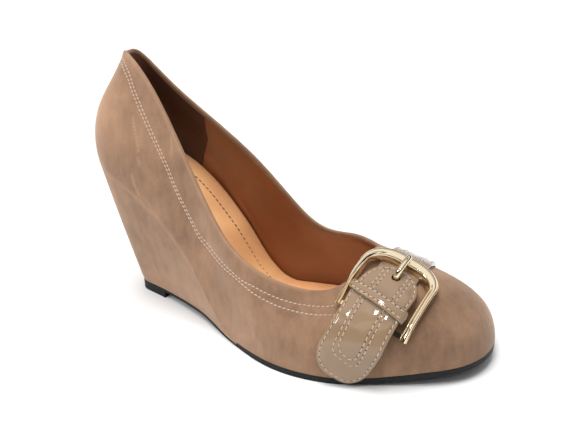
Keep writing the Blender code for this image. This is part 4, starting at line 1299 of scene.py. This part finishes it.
def make_tab_piece(vamp, finish):
    """The tab, with the hole that the pin comes up through."""
    half, quarter = TAB_WIDTH / 2, math.pi / 2
    from_top = np.linspace(FIRST_STATION, quarter, TAB_TOP_STATIONS)
    top = [TAB_TOP + half * (1 - math.cos(a)) for a in from_top]
    end = [TAB_END - TAB_CORNER * (1 - math.cos(a)) for a in np.linspace(quarter, 0.0, TAB_END_STATIONS)]
    places = [*top, *np.linspace(top[-1], end[0], TAB_SIDE_STATIONS)[1:-1], *end]
    points, faces = band(
        vamp, places, tab_middle, tab_half_width,
        lambda place, share: tab_round(place, share * tab_half_width(place)),
        lambda round_: float(TAB_LIFT(round_)), tab_top,
    )
    tab = add_piece("patent_tab", points, faces, [finish], "patent", ("strap_tab",), sharp=50)
    work = bmesh.new()
    bmesh.ops.create_cone(
        work, cap_ends=True, segments=28, depth=4 * TAB_THICKNESS,
        radius1=PRONG_DIAMETER / 2 + 2 * CLEARANCE, radius2=PRONG_DIAMETER / 2 + 2 * CLEARANCE,
    )
    mesh = bpy.data.meshes.new("pin hole")
    work.to_mesh(mesh)
    work.free()
    cutter = bpy.data.objects.new("pin hole", mesh)
    bpy.context.scene.collection.objects.link(cutter)
    cutter.location = vamp.place(0, PRONG_HOLE, FRAME_LIFT + TAB_THICKNESS / 2)
    cutter.rotation_euler = vamp.normal(0, PRONG_HOLE).to_track_quat("Z", "Y").to_euler()
    cut = tab.modifiers.new("pin hole", "BOOLEAN")
    cut.operation = "DIFFERENCE"
    cut.solver = "EXACT"
    cut.object = cutter
    bpy.context.view_layer.update()
    shown = tab.evaluated_get(bpy.context.evaluated_depsgraph_get())
    whole = bpy.data.meshes.new_from_object(shown)
    tab.modifiers.clear()
    tab.data = whole
    bpy.data.objects.remove(cutter)


def keeper_loop():
    """The keeper's inner face as (fore, lift, direction out), once round."""
    half, corner = TAB_WIDTH / 2 + CLEARANCE, KEEPER_CORNER
    low, high = FRAME_LIFT + KEEPER_THICKNESS, KEEPER_INSIDE
    loop = []
    for side, turn in ((1, -90), (1, 0), (-1, 90), (-1, 180)):
        centre = (side * (half - corner), high - corner if turn in (0, 90) else low + corner)
        for a in np.radians(turn + np.linspace(0, 90, KEEPER_CORNER_CUTS)):
            ray = (math.cos(a), math.sin(a))
            loop.append((centre[0] + corner * ray[0], centre[1] + corner * ray[1], ray))
        if turn in (0, 180):
            way = -1 if turn == 0 else 1
            for share in np.linspace(0, 1, KEEPER_SIDE_CUTS)[1:-1]:
                fore = way * (half - corner) * (2 * share - 1)
                rise = KEEPER_CROWN * (1 - (fore / half) ** 2)
                loop.append((fore, high + rise if turn == 0 else low, (0.0, 1.0 if turn == 0 else -1.0)))
    return loop


def keeper_place(vamp, fore, lift, along_width):
    """A place on the keeper, by the distance from the tab's middle and the share along its own width."""
    round_ = KEEPER_PLACE + KEEPER_TILT * fore + along_width * KEEPER_WIDTH
    return vamp.place(tab_middle(round_) + fore, round_, lift)


def make_keeper_piece(vamp, finish):
    """The patent loop round the tab, its section swept round the loop."""
    rings = []
    for fore, lift, out in keeper_loop():
        ring = []
        for width, up in KEEPER_SECTION:
            off = up * KEEPER_THICKNESS
            ring.append(keeper_place(vamp, fore + out[0] * off, lift + out[1] * off, width))
        rings.append(ring)
    rings = np.array(rings)
    faces = ring_faces(*rings.shape[:2])
    add_piece("patent_keeper", rings.reshape(-1, 3), faces, [finish], "patent", ("keeper",), sharp=60)


def frame_line():
    """The frame's middle line with its half widths and the direction out, leg to leg."""
    side, radius = (FRAME_WIDTH - FRAME_LEG) / 2, FRAME_CORNER
    line, front_leg = [
        [(fore, place, FRAME_LEG / 2, (np.sign(fore), 0))
         for place in np.linspace(FRAME_END - FRAME_SLANT * fore, FRAME_TOP + radius, FRAME_STEPS)[:-1]]
        for fore in (-side, side)
    ]
    for start, sign in ((0, -1), (math.pi / 2, 1)):
        for a in np.linspace(start, start + math.pi / 2, FRAME_STEPS):
            out = (-math.cos(a), -math.sin(a))
            half = FRAME_LEG / 2 + (FRAME_BAR - FRAME_LEG) / 2 * math.sin(a)
            fore = sign * (FRAME_WIDTH / 2 - radius) + (radius - FRAME_LEG / 2) * out[0]
            line.append((fore, FRAME_TOP + radius + (radius - FRAME_BAR / 2) * out[1], half, out))
    return line + front_leg[::-1]


def make_frame_piece(vamp, finish):
    """The cast frame with a bead along its outer edge, and the bar under the tab."""
    sections = []
    for fore, round_, half, out in frame_line():
        section = []
        for share, up in FRAME_SECTION:
            off, lift = half * share, FRAME_LIFT + FRAME_HEIGHT * up
            section.append(vamp.place(fore + out[0] * off, round_ + out[1] * off, lift))
        sections.append(section)
    side = FRAME_WIDTH / 2 - FRAME_LEG / 2
    under, over = FRAME_LIFT + CLEARANCE / 2, FRAME_LIFT + HEEL_BAR_HEIGHT
    bar = []
    for fore in np.linspace(-side, side, HEEL_BAR_CUTS):
        far = FRAME_END - FRAME_SLANT * fore - CLEARANCE
        near = far - HEEL_BAR_WIDTH
        corners = ((near, under), (far, under), (far, over), (near, over))
        bar.append([vamp.place(fore, *corner) for corner in corners])
    points, faces = joined([loft(sections), loft(bar)])
    add_piece("gold_frame", points, faces, [finish], "buckle_metal", ("buckle_frame",), sharp=38)


def make_pin(vamp, finish):
    """The pin, flattened a little, with a rounded tip over the wide bar."""
    radius = PRONG_DIAMETER / 2
    over = FRAME_LIFT + FRAME_HEIGHT + CLEARANCE + radius
    inside = FRAME_LIFT + TAB_THICKNESS
    route = np.array([
        (PRONG_HOLE, FRAME_LIFT + CLEARANCE),
        (PRONG_HOLE, inside),
        (PRONG_HOLE - PRONG_BEND, inside + radius),
        (PRONG_HOLE - PRONG_RUN, over),
        (PRONG_CREST, over + radius / 3),
        (PRONG_TIP, over),
    ])
    ends = np.vstack([route[0], route, route[-1]])
    line = []
    for place in np.linspace(0, len(route) - 1, PIN_CUTS):
        k = min(int(place), len(route) - 2)
        line.append(spline(*ends[k:k + 4], place - k))
    centre = np.array([vamp.place(0, round_, lift) for round_, lift in line])
    run = np.gradient(centre, axis=0)
    run /= np.linalg.norm(run, axis=1, keepdims=True)
    sideways = np.array([1.0, 0, 0]) - run * run[:, :1]
    sideways /= np.linalg.norm(sideways, axis=1, keepdims=True)
    other = np.cross(run, sideways)
    left = np.linalg.norm(centre - centre[-1], axis=1)
    size = np.where(left < radius, np.sqrt(np.maximum(1 - (1 - left / radius) ** 2, 0.02)), 1.0) * radius
    turns = np.linspace(0, 2 * math.pi, PIN_SIDES, endpoint=False)
    rings = np.array([
        [c + r * (math.cos(a) * s + PIN_FLATTENED * math.sin(a) * o) for a in turns]
        for c, r, s, o in zip(centre, size, sideways, other)
    ])
    points, faces = loft([list(ring) for ring in rings])
    add_piece("gold_pin", points, faces, [finish], "buckle_metal", ("buckle_prong",), sharp=60)


def make_collar_stitches(finish, stitching):
    """The two threads round the collar, from under the tab round the back to under the strap."""
    made = []
    spots = np.linspace(-INNER_SEAM_END, SEAM_END, COLLAR_CUTS)
    rows = spots % ROWS
    length = skin_length(rows)
    for line in (seam_low, seam_high):
        heights = line(abs(spots))
        plain = skin(rows, heights[:, None])[:, 0]
        normal = skin_normals(rows, heights[:, None])[:, 0]
        off = skin_relief(plain, rows, heights, length)
        pitch = stitching.pitch * COLLAR_PITCH
        made.append(stitches(plain + normal * off[:, None], normal, pitch, stitching.thickness)[:2])
    add_piece("collar_thread", *joined(made), [finish], "thread")


def u_corners(across, along_tab, radius, steps):
    """The two rounded corners of a U on the tab, by the centres of their arcs."""
    return [
        (sign * across + radius * math.cos(a), along_tab + radius * math.sin(a))
        for sign, start in ((-1, math.pi), (1, math.pi / 2))
        for a in np.linspace(start, start - math.pi / 2, steps)
    ]


def make_patent_stitches(vamp, finish, hole_shade_finish, stitching):
    """The cream rows on strap, tab and keeper, and beside them dark domes that are painted shade in the
    needle holes.
    """
    threads, holes = [], []

    def sew(places, top_at, *lie):
        thread, marks = sewn(vamp, places, top_at, stitching, *lie)
        threads.append(thread)
        holes.append(marks)

    edge = STRAP_WIDTH / 2 - STRAP_EDGE_SEAM
    for across in (-edge, edge, *STRAP_INNER_SEAMS, *(-seam for seam in STRAP_INNER_SEAMS)):
        fore = STRAP_MIDDLE + across
        foot, end = vamp.foot_round(fore) + STRAP_SEAM_FOOT, FRAME_TOP + STRAP_SEAM_END
        sew([(fore, round_) for round_ in np.linspace(foot, end, STRAP_SEAM_CUTS)], strap_top)

    half, inset = TAB_WIDTH / 2, TAB_EDGE_SEAM
    radius, corner = half - inset, TAB_CORNER - inset
    high, low = TAB_TOP + half, TAB_END - TAB_CORNER
    turns = np.linspace(0, math.pi, TAB_TURN_CUTS)
    outline = [(radius * math.cos(a), high - radius * math.sin(a)) for a in turns]
    outline += [(-radius, round_) for round_ in np.linspace(high, low, TAB_SEAM_CUTS)[1:]]
    outline += u_corners(half - TAB_CORNER, low, corner, TAB_CORNER_CUTS)
    outline += [(radius, round_) for round_ in np.linspace(low, high, TAB_SEAM_CUTS)[1:-1]]

    def on_tab(fore, round_):
        return tab_round(round_, fore - tab_middle(round_))

    sew([(tab_middle(round_) + fore, round_) for fore, round_ in outline], tab_top, on_tab)
    for width, end in zip(TAB_INNER_SEAMS, TAB_INNER_ENDS):
        start, turn_at = high - math.sqrt(radius**2 - width**2) + TAB_SEAM_INSET, end - TAB_INNER_CORNER
        side = [(-width, round_) for round_ in np.linspace(start, turn_at, TAB_SEAM_CUTS)]
        turn = u_corners(width - TAB_INNER_CORNER, turn_at, TAB_INNER_CORNER, TAB_INNER_CORNER_CUTS)
        back = [(width, round_) for _, round_ in reversed(side)]
        seam = side + turn[:-1] + back
        sew([(tab_middle(round_) + fore, round_) for fore, round_ in seam], tab_top, on_tab)

    reach = half - KEEPER_SEAM_INSET
    for width in (-KEEPER_SEAM, KEEPER_SEAM):
        fores = np.linspace(-reach, reach, KEEPER_SEAM_CUTS)
        rise = KEEPER_CROWN * (1 - (fores / half) ** 2)
        lifts = KEEPER_INSIDE + KEEPER_THICKNESS + rise - KEEPER_THREAD_SINK
        line = [keeper_place(vamp, fore, lift, width) for fore, lift in zip(fores, lifts)]
        normal = [vamp.normal(fore, KEEPER_PLACE) for fore in fores]
        pitch, thickness = (KEEPER_STITCH * size for size in (stitching.pitch, stitching.thickness))
        points, faces, marks = stitches(line, normal, pitch, thickness)
        threads.append((points, faces))
        holes.append(hole_marks(marks, stitching.thickness * KEEPER_HOLE, KEEPER_HOLE_ASIDE))
    add_piece("patent_thread", *joined(threads), [finish], "thread")
    add_piece("needle_holes", *joined(holes), [hole_shade_finish], "thread")


class PumpColours(bpy.types.PropertyGroup):
    """The finishes' base colours, linear."""


class PumpStitching(bpy.types.PropertyGroup):
    """The threads' sizes."""

    pitch: FloatProperty(
        name="Stitch pitch", description="From one needle hole to the next", default=0.0029, unit="LENGTH"
    )
    thickness: FloatProperty(
        name="Thread thickness", description="Across one thread", default=0.00055, unit="LENGTH"
    )


class PumpStage(bpy.types.PropertyGroup):
    """The floor and the lights."""

    floor_colour: FloatVectorProperty(
        name="Floor", description="Colour of the floor", subtype="COLOR", size=3, default=(0.86, 0.86, 0.86)
    )
    key_strength: FloatProperty(name="Key light", description="Strength of the soft light above", default=2.3)
    side_strength: FloatProperty(
        name="Side light", description="Strength of the soft light beside the heel", default=1.15
    )
    window_power: FloatProperty(
        name="Window", description="Power of the small window light", default=1.2, unit="POWER"
    )
    flash_power: FloatProperty(
        name="Flash", description="Power of the small light near the camera", default=0.5, unit="POWER"
    )
    sky_strength: FloatProperty(name="Sky", description="Strength of the surroundings", default=0.95)


COLOURS = (
    ("suede", "Suede", "Brushed suede of upper and wedge", (0.300, 0.176, 0.108)),
    ("patent", "Patent", "Patent leather of strap, tab and keeper", (0.262, 0.172, 0.102)),
    ("gold", "Gold", "Plating of frame and pin", (0.96, 0.80, 0.57)),
    ("rubber", "Rubber", "Sole sheet and heel lift", (0.006, 0.0065, 0.0075)),
    ("insole", "Insole", "Sock leather", (1.0, 0.50, 0.225)),
    ("lining", "Lining", "Glossy lining of the quarters", (0.270, 0.082, 0.026)),
    ("pocket", "Heel pocket", "Matt lining of the heel", (0.100, 0.036, 0.016)),
    ("thread", "Thread", "Stitching of collar, strap and tab", (0.50, 0.38, 0.29)),
    ("dark_thread", "Dark thread", "Stitching of insole and lining", (0.045, 0.014, 0.006)),
)
for key, label, words, default in COLOURS:
    PumpColours.__annotations__[key] = FloatVectorProperty(
        name=label, description=words, subtype="COLOR", size=3, min=0, max=1, default=default
    )


def colour_of(context, key):
    return tuple(getattr(context.scene.pump_colours, key))


class PumpUpper(bpy.types.Operator):
    """Build the suede of upper and wedge"""

    bl_idname = "pump.upper"
    bl_label = "Suede upper and wedge"

    def execute(self, context):
        finish = suede_finish(colour_of(context, "suede"))
        make_suede_wall(finish)
        make_wedge_cover(finish)
        return {"FINISHED"}


class PumpLining(bpy.types.Operator):
    """Build the lining with its heel pocket"""

    bl_idname = "pump.lining"
    bl_label = "Lining"

    def execute(self, context):
        quarters = grain_leather("lining_leather", colour_of(context, "lining"), 0.30, 0.8, 1500, 0.00004)
        pocket = grain_leather("pocket_leather", colour_of(context, "pocket"), 0.72, 0.0, 2200, 0.00008)
        thread = thread_finish("dark_thread", colour_of(context, "dark_thread"))
        make_lining(quarters, pocket, thread, context.scene.pump_stitching)
        return {"FINISHED"}


class PumpInsole(bpy.types.Operator):
    """Build the insole sock and its seam"""

    bl_idname = "pump.insole"
    bl_label = "Insole"

    def execute(self, context):
        finish = grain_leather("sock_leather", colour_of(context, "insole"), 0.5, 0.1, 1300, 0.00005)
        thread = thread_finish("insole_thread", colour_of(context, "dark_thread"))
        make_insole_sock(finish, thread, context.scene.pump_stitching)
        return {"FINISHED"}


class PumpSole(bpy.types.Operator):
    """Build the sole sheet and the heel lift"""

    bl_idname = "pump.sole"
    bl_label = "Sole and heel lift"

    def execute(self, context):
        make_sole_pieces(rubber_finish(colour_of(context, "rubber")))
        return {"FINISHED"}


class PumpPatent(bpy.types.Operator):
    """Build strap, tab and keeper"""

    bl_idname = "pump.patent"
    bl_label = "Strap, tab and keeper"

    def execute(self, context):
        finish = patent_finish(colour_of(context, "patent"))
        make_strap_piece(VAMP, finish)
        make_tab_piece(VAMP, finish)
        make_keeper_piece(VAMP, finish)
        return {"FINISHED"}


class PumpBuckle(bpy.types.Operator):
    """Build the gold frame and its pin"""

    bl_idname = "pump.buckle"
    bl_label = "Buckle"

    def execute(self, context):
        finish = gold_finish(colour_of(context, "gold"))
        make_frame_piece(VAMP, finish)
        make_pin(VAMP, finish)
        return {"FINISHED"}


class PumpStitches(bpy.types.Operator):
    """Sew collar, strap, tab and keeper"""

    bl_idname = "pump.stitches"
    bl_label = "Stitching"

    def execute(self, context):
        cream = thread_finish("cream_thread", colour_of(context, "thread"))
        # Near-black painted shade for the needle holes, which are domes on the surface
        hole_shade = new_finish("needle_hole", (0.012, 0.008, 0.006), 0.8)
        make_collar_stitches(cream, context.scene.pump_stitching)
        make_patent_stitches(VAMP, cream, hole_shade, context.scene.pump_stitching)
        return {"FINISHED"}


def add_sun(name, towards, angle, strength):
    """Even light from one side of the sky that shows in no gloss, as from a large veiled box far away."""
    lamp = bpy.data.lights.new(name, "SUN")
    lamp.angle = math.radians(angle)
    lamp.energy = strength
    made = bpy.data.objects.new(name, lamp)
    made.rotation_euler = Vector(towards).to_track_quat("-Z", "Y").to_euler()
    made.visible_glossy = False
    bpy.context.scene.collection.objects.link(made)


def add_area_light(name, place, aim, size, power):
    lamp = bpy.data.lights.new(name, "AREA")
    lamp.shape = "SQUARE"
    lamp.size = size
    lamp.energy = power
    made = bpy.data.objects.new(name, lamp)
    made.location = place
    made.rotation_euler = (Vector(aim) - Vector(place)).to_track_quat("-Z", "Y").to_euler()
    bpy.context.scene.collection.objects.link(made)


def make_sky(strength):
    """Pale surroundings with two dark bands and a grey one, which the metal mirrors."""
    world = bpy.data.worlds.new("studio")
    bpy.context.scene.world = world
    world.use_nodes = True
    nodes, links = world.node_tree.nodes, world.node_tree.links
    place = nodes.new("ShaderNodeTexCoord")
    split = nodes.new("ShaderNodeSeparateXYZ")
    ramp = nodes.new("ShaderNodeValToRGB")
    links.new(place.outputs["Generated"], split.inputs["Vector"])
    links.new(split.outputs["Z"], ramp.inputs["Fac"])
    links.new(ramp.outputs["Color"], nodes["Background"].inputs["Color"])
    nodes["Background"].inputs["Strength"].default_value = strength
    ramp.color_ramp.elements.remove(ramp.color_ramp.elements[1])
    ramp.color_ramp.elements[0].color = (SKY_STOPS[0][1],) * 3 + (1,)
    for at, grey in SKY_STOPS[1:]:
        ramp.color_ramp.elements.new(at).color = (grey, grey, grey, 1)


def add_camera():
    """The camera, with its roll about the line of sight."""
    azimuth, elevation, roll = map(math.radians, (CAMERA_AZIMUTH, CAMERA_ELEVATION, CAMERA_ROLL))
    back = Vector((
        math.sin(azimuth) * math.cos(elevation), -math.cos(azimuth) * math.cos(elevation), math.sin(elevation)
    ))
    level = Vector((math.cos(azimuth), math.sin(azimuth), 0))
    upright = back.cross(level)
    right = level * math.cos(roll) + upright * math.sin(roll)
    up = upright * math.cos(roll) - level * math.sin(roll)
    data = bpy.data.cameras.new("camera")
    data.sensor_width = CAMERA_SENSOR
    data.lens = CAMERA_LENS
    data.clip_start, data.clip_end = 0.01, 50
    camera = bpy.data.objects.new("camera", data)
    camera.matrix_world = Matrix((
        (right.x, up.x, back.x, CAMERA_AT[0]),
        (right.y, up.y, back.y, CAMERA_AT[1]),
        (right.z, up.z, back.z, CAMERA_AT[2]),
        (0, 0, 0, 1),
    ))
    bpy.context.scene.collection.objects.link(camera)
    bpy.context.scene.camera = camera


class PumpStudio(bpy.types.Operator):
    """Build the pale floor, the lights and the camera"""

    bl_idname = "pump.studio"
    bl_label = "Stage"

    def execute(self, context):
        stage = context.scene.pump_stage
        mesh = bpy.data.meshes.new("floor")
        corners = [(x * FLOOR_REACH, y * FLOOR_REACH, 0) for x, y in ((-1, -1), (1, -1), (1, 1), (-1, 1))]
        mesh.from_pydata(corners, [], [(0, 1, 2, 3)])
        finish = new_finish("pale_floor", tuple(stage.floor_colour), 0.85)
        mesh.materials.append(finish)
        floor = bpy.data.objects.new("floor", mesh)
        context.scene.collection.objects.link(floor)
        make_sky(stage.sky_strength)
        add_sun("key", *KEY_SUN, stage.key_strength)
        add_sun("side", *SIDE_SUN, stage.side_strength)
        add_area_light("window", *WINDOW_LAMP, stage.window_power)
        add_area_light("flash", *FLASH_LAMP, stage.flash_power)
        add_camera()
        context.scene.view_settings.view_transform = "Standard"
        return {"FINISHED"}


OPERATORS = (
    PumpUpper, PumpLining, PumpInsole, PumpSole, PumpPatent, PumpBuckle, PumpStitches, PumpStudio,
)


class PumpPanel(bpy.types.Panel):
    """Lists the pump's colours, sizes and pieces"""

    bl_idname = "VIEW3D_PT_wedge_pump"
    bl_label = "Wedge pump"
    bl_space_type = "VIEW_3D"
    bl_region_type = "UI"
    bl_category = "Wedge pump"

    def draw(self, context):
        scene = context.scene
        for group in (scene.pump_colours, scene.pump_stitching, scene.pump_stage):
            for key in group.__annotations__:
                self.layout.prop(group, key)
        for operator in OPERATORS:
            self.layout.operator(operator.bl_idname)


GROUPS = {"pump_colours": PumpColours, "pump_stitching": PumpStitching, "pump_stage": PumpStage}


def register():
    for made in (*GROUPS.values(), *OPERATORS, PumpPanel):
        bpy.utils.register_class(made)
    for key, group in GROUPS.items():
        setattr(bpy.types.Scene, key, PointerProperty(type=group))


def unregister():
    for key in GROUPS:
        delattr(bpy.types.Scene, key)
    for made in (PumpPanel, *reversed(OPERATORS), *reversed(GROUPS.values())):
        bpy.utils.unregister_class(made)


def main():
    register()
    for piece in ("upper", "lining", "insole", "sole", "patent", "buckle", "stitches", "studio"):
        getattr(bpy.ops.pump, piece)()


VAMP = Vamp(fine_rows(DRAPE_ROUND))

if __name__ == "__main__":
    main()
